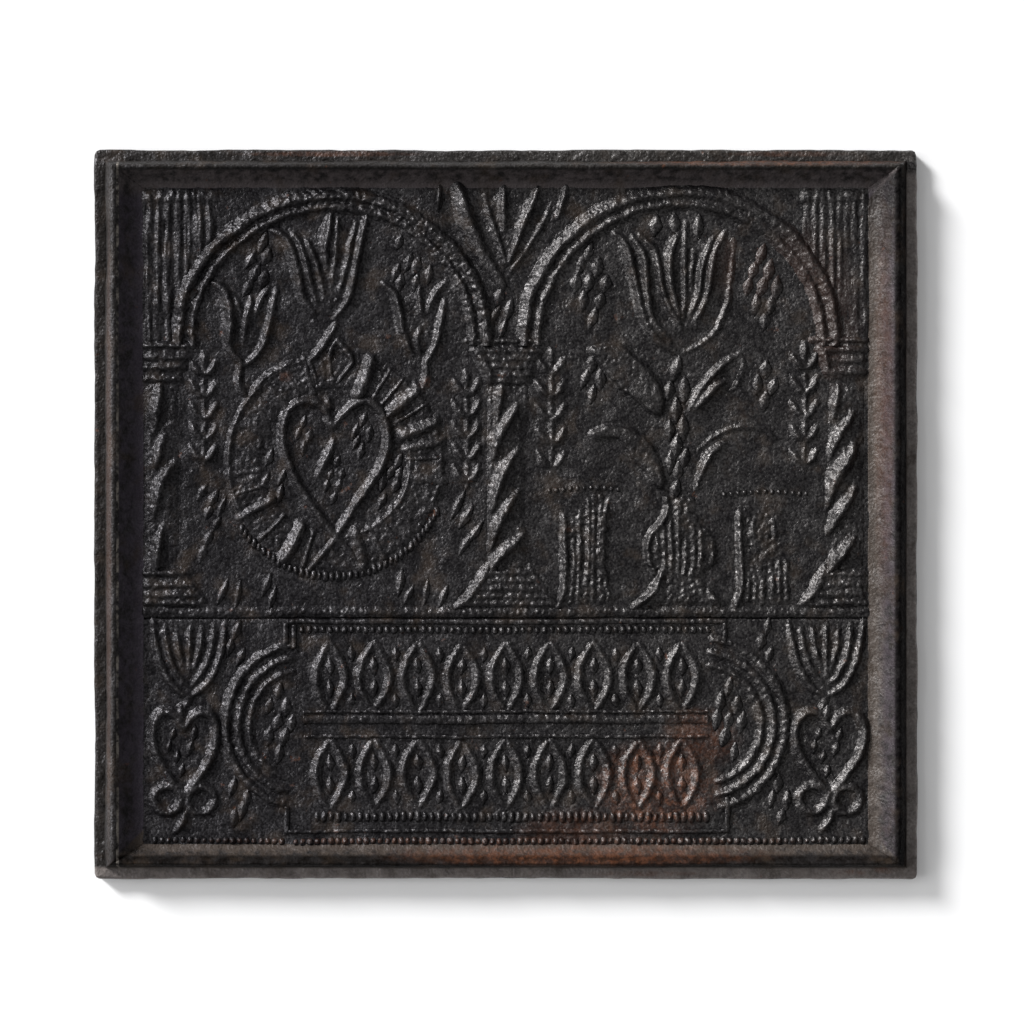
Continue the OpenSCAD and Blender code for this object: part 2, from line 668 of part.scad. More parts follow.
module lozenges_low() color(worn_iron) relief(lozenge_t) {
    for (way = [-1, 1]) {
        // inwards from the flowers, and from the feet of the hearts
        for (p = [[42, -12], [36, -25], [46, -29]])
            low_lozenges([[way * (tulip_x - p.x), p.y]], -15);
        for (p = [[43, -148], [54, -156], [41, -164]])
            low_lozenges([[way * (heart_x - p.x), p.y]], -15);
        // inside the scrolls, as shares of the inner ring
        let (x = way < 0 ? scroll_left_x : scroll_right_x, r = scroll_r(x) - ring_steps[2])
            for (p = [[0.4, -72], [0.62, -86], [0.35, -89], [0.64, -103], [0.38, -107]])
                low_lozenges([[way * (x + p.x * r), p.y]], -12);
    }
}

back_plate();
rim_left();
rim_right();
rim_top();
rim_bottom();
string_course();
column_left();
column_centre();
column_right();
capital_left();
capital_centre();
capital_right();
base_left();
base_centre();
base_right();
arch_left();
arch_right();
reeds_left();
reeds_right();
tulip_left();
bud_outer();
bud_inner();
crown_link();
wreath_ring();
wreath_leaves();
wreath_beads();
heart_large();
lozenges_left();
spray_left();
tulip_centre();
tulip_right();
lozenges_right();
stalk_right();
vase_leaves();
vase();
pedestal_left();
pedestal_right();
altar_beads();
spray_right();
tablet_frame();
tablet_beads();
fill_upper();
fill_lower();
foot_beads();
scroll_left();
scroll_right();
tulip_low_left();
tulip_low_right();
heart_low_left();
heart_low_right();
lozenges_low();
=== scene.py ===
# %% [markdown]
# # A cast-iron fireback
#
# The object is one open-sand casting. A carver built a wooden pattern from two flat boards, a
# moulded rim and applied carving. A moulder pressed it into sand and poured iron over the
# print. So every form here is soft at its foot, rough on its skin and joined to the next one.
#
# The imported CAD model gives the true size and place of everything. Each piece below is a new
# mesh that rides on the model's one body and stands for the CAD node of the same name.

# %% Load the frame and keep its box
import json
import math

import bpy
import numpy as np
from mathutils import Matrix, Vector

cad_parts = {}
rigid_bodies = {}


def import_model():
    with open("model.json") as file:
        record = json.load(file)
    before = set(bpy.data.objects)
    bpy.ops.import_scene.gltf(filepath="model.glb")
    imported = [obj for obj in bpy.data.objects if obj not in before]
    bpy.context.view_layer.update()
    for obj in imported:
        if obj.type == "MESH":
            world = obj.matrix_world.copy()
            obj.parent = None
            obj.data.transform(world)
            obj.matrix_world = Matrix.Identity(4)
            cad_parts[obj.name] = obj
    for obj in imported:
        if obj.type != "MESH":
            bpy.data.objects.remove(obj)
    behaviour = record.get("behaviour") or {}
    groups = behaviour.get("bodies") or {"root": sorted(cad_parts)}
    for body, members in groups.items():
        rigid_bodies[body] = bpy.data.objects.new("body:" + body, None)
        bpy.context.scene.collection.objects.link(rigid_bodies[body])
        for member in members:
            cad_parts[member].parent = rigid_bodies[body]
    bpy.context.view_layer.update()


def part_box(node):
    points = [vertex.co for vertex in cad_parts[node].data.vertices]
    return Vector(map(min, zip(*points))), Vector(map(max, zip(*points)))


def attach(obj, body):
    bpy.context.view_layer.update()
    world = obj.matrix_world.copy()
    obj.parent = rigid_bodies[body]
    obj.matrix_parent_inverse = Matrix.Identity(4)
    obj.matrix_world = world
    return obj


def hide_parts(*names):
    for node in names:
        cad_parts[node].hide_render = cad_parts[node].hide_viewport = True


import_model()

# %% [markdown]
# ## The plate's own measures
#
# All shapes are drawn in millimetres on the plate's face, x to the viewer's right and z up.
# The important lines are read from the CAD nodes, so the looks follow the model if it is
# packed again at another size. Only the lower edge of the groove between the boards is given.

# %% Read the main lines of the plate from the CAD nodes
MM = 1000.0


def span(node, axis):
    low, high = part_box(node)
    return low[axis] * MM, high[axis] * MM


plate_left, plate_right = span("back_plate", 0)
plate_top = span("back_plate", 2)[1]
face_y, back_y = span("back_plate", 1)
panel_left = span("rim_left", 0)[1]
panel_right = span("rim_right", 0)[0]
panel_bottom = span("rim_bottom", 2)[1]
panel_top = span("rim_top", 2)[0]
rim_left_x = span("rim_left", 0)[0]
rim_right_x = span("rim_right", 0)[1]
rim_foot_z = span("rim_bottom", 2)[0]
rim_head_z = span("rim_top", 2)[1]
crest_y = span("rim_left", 1)[0]
seam_low, seam_high = 222.0, span("string_course", 2)[0]
string_top = span("string_course", 2)[1]
spring_z = span("arch_left", 2)[0]
bay_x = sum(span("arch_right", 0)) / 2
LEFT, RIGHT, MID = (-bay_x, spring_z), (bay_x, spring_z), (0.0, spring_z)
SEAM = (0.0, seam_low)
print("panel", panel_left, panel_right, panel_bottom, panel_top)
print("face", face_y, "crest", crest_y, "springing", spring_z, "bay", bay_x)

# %% [markdown]
# ## The casting's skin
#
# Sand-cast iron is never flat. The boards cup, the sand gives way and the metal shrinks. That
# unevenness could be sculpted or put on by a displacement modifier. Here it is a plain
# function of x and z, made from a few lattices of random heights with fixed seeds. Every piece
# adds the same skin, so the plate and its carving undulate as one casting. A second pair of
# such functions shifts every line a little, as the carver's hand and the sand have done.

# %% Smooth random heights over the face
FIELD_LEFT, FIELD_FOOT = -500.0, -100.0
CELLS = 256

# Each layer of unevenness: its height, the length of its bumps and its seed, in mm.
SKIN = [(0.45, 74.0, 11), (0.80, 27.0, 12), (0.52, 11.0, 13), (0.28, 5.6, 14)]
HAND_X = [(0.55, 31.0, 21), (0.30, 8.0, 23)]
HAND_Z = [(0.55, 33.0, 22), (0.30, 8.0, 24)]


def waves(x, z, length, seed):
    """Smooth random heights from -1 to 1, with bumps about length mm across."""
    grid = np.random.default_rng(seed).uniform(-1.0, 1.0, (CELLS + 1, CELLS + 1))
    u = (np.asarray(x) - FIELD_LEFT) / length
    v = (np.asarray(z) - FIELD_FOOT) / length
    i, j = np.floor(u).astype(int), np.floor(v).astype(int)
    s, t = u - i, v - j
    s, t = s * s * (3 - 2 * s), t * t * (3 - 2 * t)
    i, j = i % CELLS, j % CELLS
    low = grid[i, j] * (1 - s) + grid[i + 1, j] * s
    high = grid[i, j + 1] * (1 - s) + grid[i + 1, j + 1] * s
    return low * (1 - t) + high * t


def uneven(x, z, layers):
    """The sum of a few layers of waves."""
    return sum(height * waves(x, z, length, seed) for height, length, seed in layers)


def skin(x, z):
    """Height of the uneven skin over the face, in mm."""
    return uneven(x, z, SKIN)


def hand(x, z):
    """How far the carver's hand and the sand have shifted a line, in mm."""
    return uneven(x, z, HAND_X), uneven(x, z, HAND_Z)


sample = skin(np.linspace(plate_left, plate_right, 400), np.full(400, plate_top / 2))
print("skin from %.2f to %.2f mm" % (sample.min(), sample.max()))

# %% [markdown]
# ## The finish: stove-blacked cast iron
#
# The real surface is iron with a sandy grain of one to three millimetres. It has been blacked
# and brushed many times, so its slopes shine like dark pewter, its hollows stay dull, and old
# rust shows through in a few places. A photograph could be wrapped round it, but a procedural
# material holds at any distance. All of it reads Object coordinates, and every piece has its
# place in its mesh, so the finish runs on from piece to piece.
#
# Node trees are long to write out, so a small helper adds a node with its values and links in
# one line. The same helper serves the Geometry Nodes further down.

# %% A helper that writes nodes, and one for a material
class Writer:
    """Adds nodes to a tree. An input is a value or another node's output."""

    def __init__(self, tree):
        self.tree = tree

    def put(self, kind, inputs=None, **settings):
        node = self.tree.nodes.new(kind)
        for key, value in settings.items():
            setattr(node, key, value)
        for key, value in (inputs or {}).items():
            if isinstance(value, bpy.types.NodeSocket):
                self.tree.links.new(value, node.inputs[key])
            else:
                node.inputs[key].default_value = value
        return node

    def math(self, kind, a, b=0.0, c=0.0, clamp=False):
        return self.put("ShaderNodeMath", {0: a, 1: b, 2: c}, operation=kind,
                        use_clamp=clamp).outputs[0]

    def times(self, first, *others):
        for other in others:
            first = self.math("MULTIPLY", first, other)
        return first

    def less(self, a, b):
        return self.math("SUBTRACT", a, b)

    def least(self, a, b):
        return self.math("MINIMUM", a, b)

    def most(self, a, b):
        return self.math("MAXIMUM", a, b)


class Finish(Writer):
    """A material's nodes. x, y and z are a point's place on the plate, in mm."""

    def __init__(self, name):
        self.material = bpy.data.materials.new(name)
        self.material.use_nodes = True
        super().__init__(self.material.node_tree)
        self.tree.nodes.clear()
        self.place = self.put("ShaderNodeTexCoord").outputs["Object"]
        parts = self.put("ShaderNodeSeparateXYZ", {0: self.place}).outputs
        self.x, self.y, self.z = (self.times(part, MM) for part in parts)

    def noise(self, scale, detail, roughness):
        return self.put("ShaderNodeTexNoise", {"Vector": self.place, "Scale": scale,
                        "Detail": detail, "Roughness": roughness}).outputs["Fac"]

    def ramp(self, value, low, high, low_to=0.0, high_to=1.0):
        """low_to where value is low, high_to where it is high, and a smooth step between."""
        return self.put("ShaderNodeMapRange", {"Value": value, "From Min": low,
                        "From Max": high, "To Min": low_to, "To Max": high_to},
                        interpolation_type="SMOOTHSTEP").outputs["Result"]

    def gain(self, mask, high_to):
        """1 where mask is 0, and high_to where it is 1."""
        return self.ramp(mask, 0.0, 1.0, 1.0, high_to)

    def mix(self, share, a, b):
        return self.put("ShaderNodeMix", {0: share, 6: a, 7: b}, data_type="RGBA").outputs[2]

    def patch(self, x, z, rx, rz):
        """1 at a place on the face, falling to 0 at an ellipse of rx by rz mm round it."""
        u, v = self.times(self.less(self.x, x), 1 / rx), self.times(self.less(self.z, z), 1 / rz)
        return self.ramp(self.math("ADD", self.times(u, u), self.times(v, v)), 1.0, 0.0)


# %% [markdown]
# The finish differs from place to place. On the rim's left and top, which face the lamps, a thin
# worn edge runs over an inner slope painted near-black as shade, since it turns from the lamps.
# On the right and bottom the outer faces are painted near-black as shade, and the right rim is
# painted darker from its foot to partway down its slope, and darker still towards the top. The
# flange is crusted on the left and top, and painted pale grey on the right and foot, as painted
# fill light in the rim's shadow. A bright line is painted along the left crest as a highlight.
# Painted maps could say this, but the rim is straight, so plain distances from its outer edges
# do. Each mask below is 1 on one such zone and fades to 0 beside it.

# %% Masks by place
# Each pair is where a mask is 0 and where it is 1, in mm inward from the rim's outer edges.
MITRE_MM = 2.0
FRONT_ONLY = (3.0, 1.0)
OUTER_FACE_SHADE_IN, OUTER_FACE_SHADE_OUT = (13.2, 9.6), (-1.4, -0.2)
CREST_LEFT, CREST_TOP = (13.2, 11.8), (9.8, 7.6)
CREST_HIGHLIGHT_IN, CREST_HIGHLIGHT_OUT = (10.4, 11.2), (13.2, 12.2)
FLANGE_EDGE, FLANGE_FOOT = (2.0, -1.0), (2.0, -1.0)
FLANGE_RIGHT, CORNER_FREE = (0.8, -0.8), (6.0, 14.0)
SLOPE_GREY, SLOPE_START = (34.0, 20.0), (-1.0, 0.0)
WALL_SHADE, SHADE_SHARE = (25.5, 16.5), 0.70
UPPER_RIGHT_SHADE, UPPER_RIGHT_SHADE_SHARE = (100.0, 5.0), 0.85


class Zones:
    """Masks for the parts of the rim and the flange, from distances to the rim's outer foot."""

    def __init__(self, f):
        from_left, from_right = f.less(f.x, rim_left_x), f.less(rim_right_x, f.x)
        self.from_head, from_foot = f.less(rim_head_z, f.z), f.less(f.z, rim_foot_z)
        to_near = f.least(from_left, self.from_head)
        to_away = f.least(from_foot, from_right)
        inward = f.least(to_near, to_away)
        self.front = f.ramp(f.y, *(face_y + y for y in FRONT_ONLY))
        self.away = f.ramp(f.less(to_near, to_away), -MITRE_MM, MITRE_MM)
        near = f.less(1.0, self.away)
        # Painted shade: the outer faces of the right and bottom rims, turned from the lamps, go
        # near-black.
        self.outer_face_shade = f.times(self.away, self.front, f.ramp(inward, *OUTER_FACE_SHADE_IN),
                            f.ramp(inward, *OUTER_FACE_SHADE_OUT))
        # Painted shade: the rim on the right is coloured darker towards the top.
        self.upper_right_shade = f.times(self.away, f.ramp(self.from_head, *UPPER_RIGHT_SHADE, 0.0,
                                                   UPPER_RIGHT_SHADE_SHARE))
        self.crest = f.times(near, f.most(f.ramp(from_left, *CREST_LEFT),
                                          f.ramp(self.from_head, *CREST_TOP)))
        # Painted shade: the inner slopes of the left and top rims, turned from the lamps, are
        # coloured near-black.
        self.near_slope = f.times(near, f.ramp(inward, *SLOPE_START))
        # Painted shade: the right rim is coloured darker from its foot over its crest and partway
        # down its slope.
        right_wall = f.ramp(f.less(from_foot, from_right), -MITRE_MM, MITRE_MM)
        self.shade = f.times(right_wall, f.ramp(inward, *WALL_SHADE, 0.0, SHADE_SHARE))
        # Painted highlight: a bright line along the crest of the left rim.
        self.rubbed_and_highlight = f.times(f.ramp(from_left, *CREST_HIGHLIGHT_IN), f.ramp(from_left, *CREST_HIGHLIGHT_OUT))
        self.crust = f.times(f.most(f.ramp(from_left, *FLANGE_EDGE),
                                    f.ramp(self.from_head, *FLANGE_EDGE)), self.front)
        # Painted light: the flange on the right and at the foot lies in the rim's shadow and is
        # coloured pale grey, as fill light would show it.
        right_flange = f.times(f.ramp(from_right, *FLANGE_RIGHT),
                               f.ramp(self.from_head, *CORNER_FREE))
        self.fill_lit_flange = f.times(f.most(right_flange, f.ramp(from_foot, *FLANGE_FOOT)), self.front)


# %% [markdown]
# The iron itself is a stack of colours: the base by zone, a polish on what stands off the
# face, brown bloom, and rust in blotches. The rust lies where the photograph shows it: thinly
# over the lower right of the tablet, along the bottom moulding, on the top moulding's crest and
# in scattered specks. The shine is broken too. A fine noise in the specular level makes the
# brushed sparkle, and a slow one makes it come and go. Two bumps, lumps and grain, do the rest.

# %% The iron finish
BLACKING = (0.0040, 0.0036, 0.0043, 1.0)
POLISHED = (0.014, 0.0128, 0.0128, 1.0)
RUST = (0.105, 0.040, 0.020, 1.0)
BROWN = (0.034, 0.024, 0.017, 1.0)
# The rim's brown. The right and bottom rims keep it where their slopes face the lamps, and the left
# and top get painted shade, so it is partly the rim's own tone and partly painted light.
WORN_RIM = (0.050, 0.0395, 0.0330, 1.0)
WORN_EDGE = (0.0125, 0.0110, 0.0098, 1.0)
# Painted light: pale grey for the flange on the right and foot, inside the rim's shadow.
FILL_LIGHT_GREY = (0.165, 0.145, 0.137, 1.0)
# Painted shade: near-black for the rim's outer faces that turn away from the lamps.
OUTER_FACE_SHADE_BLACK, OUTER_FACE_SHADE_SHARE = (0.0014, 0.0012, 0.0012, 1.0), 0.94
# Painted shade: near-black for the inner slopes turned from the lamps, and a grey for the top one.
SHADE_BLACK, TOP_SLOPE_SHADE_GREY = (0.040, 0.034, 0.044, 1.0), (0.066, 0.056, 0.057, 1.0)
# Painted highlight: a pale colour for that line along the left crest.
CREST_HIGHLIGHT = (0.24, 0.215, 0.19, 1.0)
COOL_SHEEN, WARM_SHEEN = (0.98, 0.950, 1.0, 1.0), (1.0, 0.957, 0.94, 1.0)
GRAIN_MM, LUMP_MM, CRUST_LUMPS = 0.74, 0.80, 1.4
POLISHED_AT, IRON_IOR = 4.5, 1.46

# Noises: how many bumps to a metre, how much detail, and how rough the detail is.
MOTTLE, BLOOM, BREAKS = (130.0, 4.0, 0.6), (38.0, 3.0, 0.6), (120.0, 4.0, 0.6)
SPECKS, FLECKS, DULL_PATCHES = (85.0, 5.0, 0.65), (150.0, 5.0, 0.7), (210.0, 4.0, 0.6)
SPARKLE, CLOUDS = (500.0, 3.0, 0.6), (42.0, 3.0, 0.6)
LUMPS, GRAIN = (230.0, 1.0, 0.5), (500.0, 2.0, 0.5)

# The shine: its place and share at the left and right, and what each zone makes of it.
SHINE_LEFT, SHINE_RIGHT = (-280.0, 0.74), (200.0, 1.14)
CRUST_SHINE, CRUST_HEAD_SHINE, CRUST_HEAD_MM = 0.50, 1.15, 4.0
OUTER_FACE_SHADE_SHINE, SHADE_SHINE, CREST_SHINE, AWAY_SHINE = 0.12, 0.55, 1.9, 1.45
COOL_AT, WARM_AT = -250.0, 150.0
DULL_LOW, DULL_HIGH, RUST_DULLS = 0.36, 0.47, 0.2


def base_colour(f, zones, mottle, base):
    """The colour under the wear, by zone. The back of the casting keeps its plain base."""
    plain = base
    if plain is WORN_RIM:
        # Painted shade: the left and top inner slopes go near-black, greyer along the top.
        slope = f.mix(f.ramp(zones.from_head, *SLOPE_GREY), SHADE_BLACK, TOP_SLOPE_SHADE_GREY)
        base = f.mix(zones.near_slope, base, slope)
        base = f.mix(zones.crest, base, WORN_EDGE)
        # Painted shade on the right rim, from its foot to partway down its slope.
        base = f.mix(f.times(zones.shade, zones.away), base, SHADE_BLACK)
    # Painted shade: darker towards the top of the right rim.
    base = f.mix(zones.upper_right_shade, base, BLACKING)
    # Painted shade on the outer faces turned from the lamps.
    base = f.mix(f.times(zones.outer_face_shade, OUTER_FACE_SHADE_SHARE), base, OUTER_FACE_SHADE_BLACK)
    # Painted highlight along the left crest, broken up by a noise.
    broken = f.ramp(f.noise(*BREAKS), 0.40, 0.56)
    base = f.mix(f.times(zones.rubbed_and_highlight, broken), base, CREST_HIGHLIGHT)
    base = f.mix(zones.crust, base, WORN_EDGE)
    # Painted light: pale grey, mottled, on the right and foot flange in the rim's shadow.
    cloudy = f.ramp(mottle, 0.32, 0.66, 0.62, 1.0)
    base = f.mix(f.times(zones.fill_lit_flange, cloudy), base, FILL_LIGHT_GREY)
    return f.mix(zones.front, plain, base)


def rust_mask(f, zones, places):
    """Scattered specks all over, and blotches at places: x, z, rx and rz in mm, and strength."""
    rust = f.ramp(f.noise(*SPECKS), 0.66, 0.74, 0.0, 0.5)
    for x, z, rx, rz, strength in places:
        flecks = f.ramp(f.noise(*FLECKS), 0.42, 0.62, 0.15, strength)
        rust = f.most(rust, f.times(f.patch(x, z, rx, rz), flecks, zones.front))
    return rust


def sparkle(f, zones, sheen, on_rim):
    """The specular level: fine specks in slow clouds, stronger to the right, dull in painted shade.
    """
    (left, left_share), (right, right_share) = SHINE_LEFT, SHINE_RIGHT
    crust = f.ramp(zones.from_head, CRUST_HEAD_MM, 0.0, CRUST_SHINE, CRUST_HEAD_SHINE)
    level = f.times(f.ramp(f.noise(*SPARKLE), 0.36, 0.64, 0.24, 0.98),
                    f.ramp(f.noise(*CLOUDS), 0.36, 0.64, 0.62, 1.18),
                    f.ramp(f.x, left, right, left_share * sheen, right_share * sheen),
                    f.gain(zones.outer_face_shade, OUTER_FACE_SHADE_SHINE), f.gain(zones.crust, crust))
    if on_rim:
        level = f.times(level, f.ramp(zones.shade, 0.0, SHADE_SHARE, 1.0, SHADE_SHINE),
                        f.gain(zones.crest, CREST_SHINE), f.gain(zones.away, AWAY_SHINE))
    return level


def iron(name, rust_places, rust_gain, base=BLACKING, dull=0.0, sheen=1.0):
    f = Finish(name)
    zones = Zones(f)
    mottle = f.noise(*MOTTLE)
    polish = f.times(f.ramp(f.less(face_y, f.y), 0.0, POLISHED_AT), f.ramp(mottle, 0.35, 0.7))
    colour = f.mix(polish, base_colour(f, zones, mottle, base), POLISHED)
    colour = f.mix(f.ramp(f.noise(*BLOOM), 0.5, 0.72, 0.0, 0.55), colour, BROWN)
    rust = rust_mask(f, zones, rust_places)
    colour = f.mix(f.math("MULTIPLY", rust, rust_gain, clamp=True), colour, RUST)
    dullness = f.math("MULTIPLY_ADD", rust, RUST_DULLS,
                      f.ramp(f.noise(*DULL_PATCHES), 0.3, 0.7, DULL_LOW + dull,
                             DULL_HIGH + dull))
    lumps = f.times(f.noise(*LUMPS), f.gain(zones.crust, CRUST_LUMPS))
    bump = f.put("ShaderNodeBump", {"Distance": LUMP_MM / MM, "Height": lumps}).outputs[0]
    bump = f.put("ShaderNodeBump", {"Distance": GRAIN_MM / MM, "Normal": bump,
                                    "Height": f.noise(*GRAIN)}).outputs[0]
    shader = f.put("ShaderNodeBsdfPrincipled", {
        "Base Color": colour, "Roughness": dullness, "Normal": bump, "Metallic": 0.0,
        "IOR": IRON_IOR, "Specular IOR Level": sparkle(f, zones, sheen, base is WORN_RIM),
        "Specular Tint": f.mix(f.ramp(f.x, COOL_AT, WARM_AT), COOL_SHEEN, WARM_SHEEN)})
    f.put("ShaderNodeOutputMaterial", {"Surface": shader.outputs[0]})
    return f.material


# %% [markdown]
# Five finishes come from the one recipe. They differ in where rust lies, and the rim's is
# browner and duller.

# %% The five finishes
TABLET_RUST = [(128, 78, 62, 48, 0.85), (165, 120, 40, 30, 0.5), (60, 40, 60, 25, 0.4)]
FLANGE_RUST = [(290, 6, 22, 3, 0.8), (322, 8, 12, 4, 0.5), (120, 5, 60, 3, 0.5),
               (-150, 616, 90, 3, 0.5), (240, 616, 60, 3, 0.4)]
RIM_RUST = [(60, 22, 190, 12, 0.6), (-336, 300, 3.5, 330, 0.16), (215, 608.5, 150, 5.0, 0.6),
            (320, 400, 10, 190, 0.26)]
ARCH_RUST = [(250, 480, 60, 90, 0.17)]
TABLET_FOOT_RUST = [(0, 33, 316, 4, 0.4)]
CARVED_RUST = [(-187, 427, 7, 6, 0.6), (-60, 420, 16, 10, 0.8), (205, 520, 40, 40, 0.18)]
FINISHES = {
    "cast_plate": iron("cast_plate", TABLET_RUST + FLANGE_RUST, 0.9),
    "rim_iron": iron("rim_iron", RIM_RUST, 1.0, WORN_RIM, 0.12, 0.42),
    "order_iron": iron("order_iron", ARCH_RUST, 0.8),
    "tablet_iron": iron("tablet_iron", TABLET_RUST + TABLET_FOOT_RUST, 1.0),
    "carved_iron": iron("carved_iron", CARVED_RUST, 0.8),
}
print("finishes", sorted(FINISHES))

# %% [markdown]
# ## Meshes from arrays
#
# Every form below ends as an array of points and a list of faces.

# %% Smooth lines, arcs, and a piece from arrays
def smooth(points, steps):
    """A smooth line through a few points, with a cubic between each two of them."""
    p = np.array(points, float)
    padded = np.vstack([2 * p[0] - p[1], p, 2 * p[-1] - p[-2]])
    t = np.linspace(0, 1, steps, endpoint=False)[:, None]
    line = []
    for a, b, c, d in zip(padded, padded[1:], padded[2:], padded[3:]):
        line.append(0.5 * (2 * b + (c - a) * t + (2 * a - 5 * b + 4 * c - d) * t ** 2
                           + (3 * b - a - 3 * c + d) * t ** 3))
    return np.vstack(line + [p[-1:]])


def arc(cx, cz, rx, rz, start, end, count):
    a = np.radians(np.linspace(start, end, count))
    return np.stack([cx + rx * np.cos(a), cz + rz * np.sin(a)], 1)


def add(name, data):
    """A new object in the scene."""
    thing = bpy.data.objects.new(name, data)
    bpy.context.scene.collection.objects.link(thing)
    return thing


def mesh_piece(name, points, faces, slot, nodes):
    """A piece from points in mm. It rides on the plate and stands for the CAD nodes."""
    mesh = bpy.data.meshes.new(name)
    mesh.from_pydata((points / MM).tolist(), [], faces)
    mesh.shade_smooth()
    mesh.validate()
    mesh.materials.append(FINISHES[slot])
    piece = add(name, mesh)
    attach(piece, "root")
    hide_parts(*nodes)
    print("%-16s %6d faces" % (name, len(mesh.polygons)))


# %% [markdown]
# ## The carving board
#
# A carved form on a board is a height over each point of it. So a carving is drawn here as a
# height map on a square grid: strokes and leaves raise it, cuts lower it, and what stands
# over the face becomes a closed mesh, front, sides and back. Sculpting or curves with a bevel
# would also do, but a height map lets strokes run together softly, as cast ones do.
#
# A stroke's section isn't quite even. Its crest leans to the lower right, so its lit side is
# the broad one. Damp sand rounds every edge, which is what soften does, and because that takes
# a little from each stroke, strokes are worked somewhat wider and higher than they are drawn.

# %% Sections and softening
SOFT_MM, FOOT_MM = 1.15, 0.14
WIDER, HIGHER = 1.22, 1.22
LOW_RIGHT, CREST_SHIFT, TURN_SHARP = (0.77, -0.64), 0.28, 1.5
TAPER = 0.7
SIDE_SLOPE = 1.3


def round_top(u):
    return np.sin(np.pi / 2 * np.clip(u, 0, 1))


def soft_top(u):
    """A carved ridge's section: two slopes to a worn crest, eased at the foot."""
    u = np.clip(u, 0, 1)
    return 0.7 * u + 0.3 * (0.5 - 0.5 * np.cos(np.pi * u))


def soften(h, mm, pitch):
    """Rounds a height map as damp sand rounds a pattern: a weighted mean over mm."""
    k = np.arange(-int(3 * mm / pitch), int(3 * mm / pitch) + 1)
    weights = np.exp(-0.5 * (k * pitch / mm) ** 2)
    weights /= weights.sum()
    for axis in (0, 1):
        pad = [(len(k) // 2, len(k) // 2) if a == axis else (0, 0) for a in (0, 1)]
        wide = np.pad(h, pad, mode="edge")
        h = sum(w * np.roll(wide, -i, axis)[tuple(slice(0, n) for n in h.shape)]
                for i, w in enumerate(weights))
    return h


def nearest_on(U, V, a, b):
    """Share along the line from a to b of its nearest point, and the way from there."""
    ex, ez = b[0] - a[0], b[1] - a[1]
    t = np.clip(((U - a[0]) * ex + (V - a[1]) * ez) / max(ex * ex + ez * ez, 1e-9), 0, 1)
    return t, U - a[0] - t * ex, V - a[1] - t * ez


# %% The board itself
# SUNK is how low an empty board lies, BURIED how deep a piece's back is, and STANDING the
# height from which a cell counts as carved, all in mm from the face. FAR is past any stroke.
PITCH_MM = 0.86
SUNK, BURIED, STANDING = -1.6, 2.6, 0.02
FAR = 99.0
CHIPPED = [(0.45, 3.4, 31)]
TOOL_MARKS = [(1.0, 3.1, 41), (0.5, 1.9, 42)]


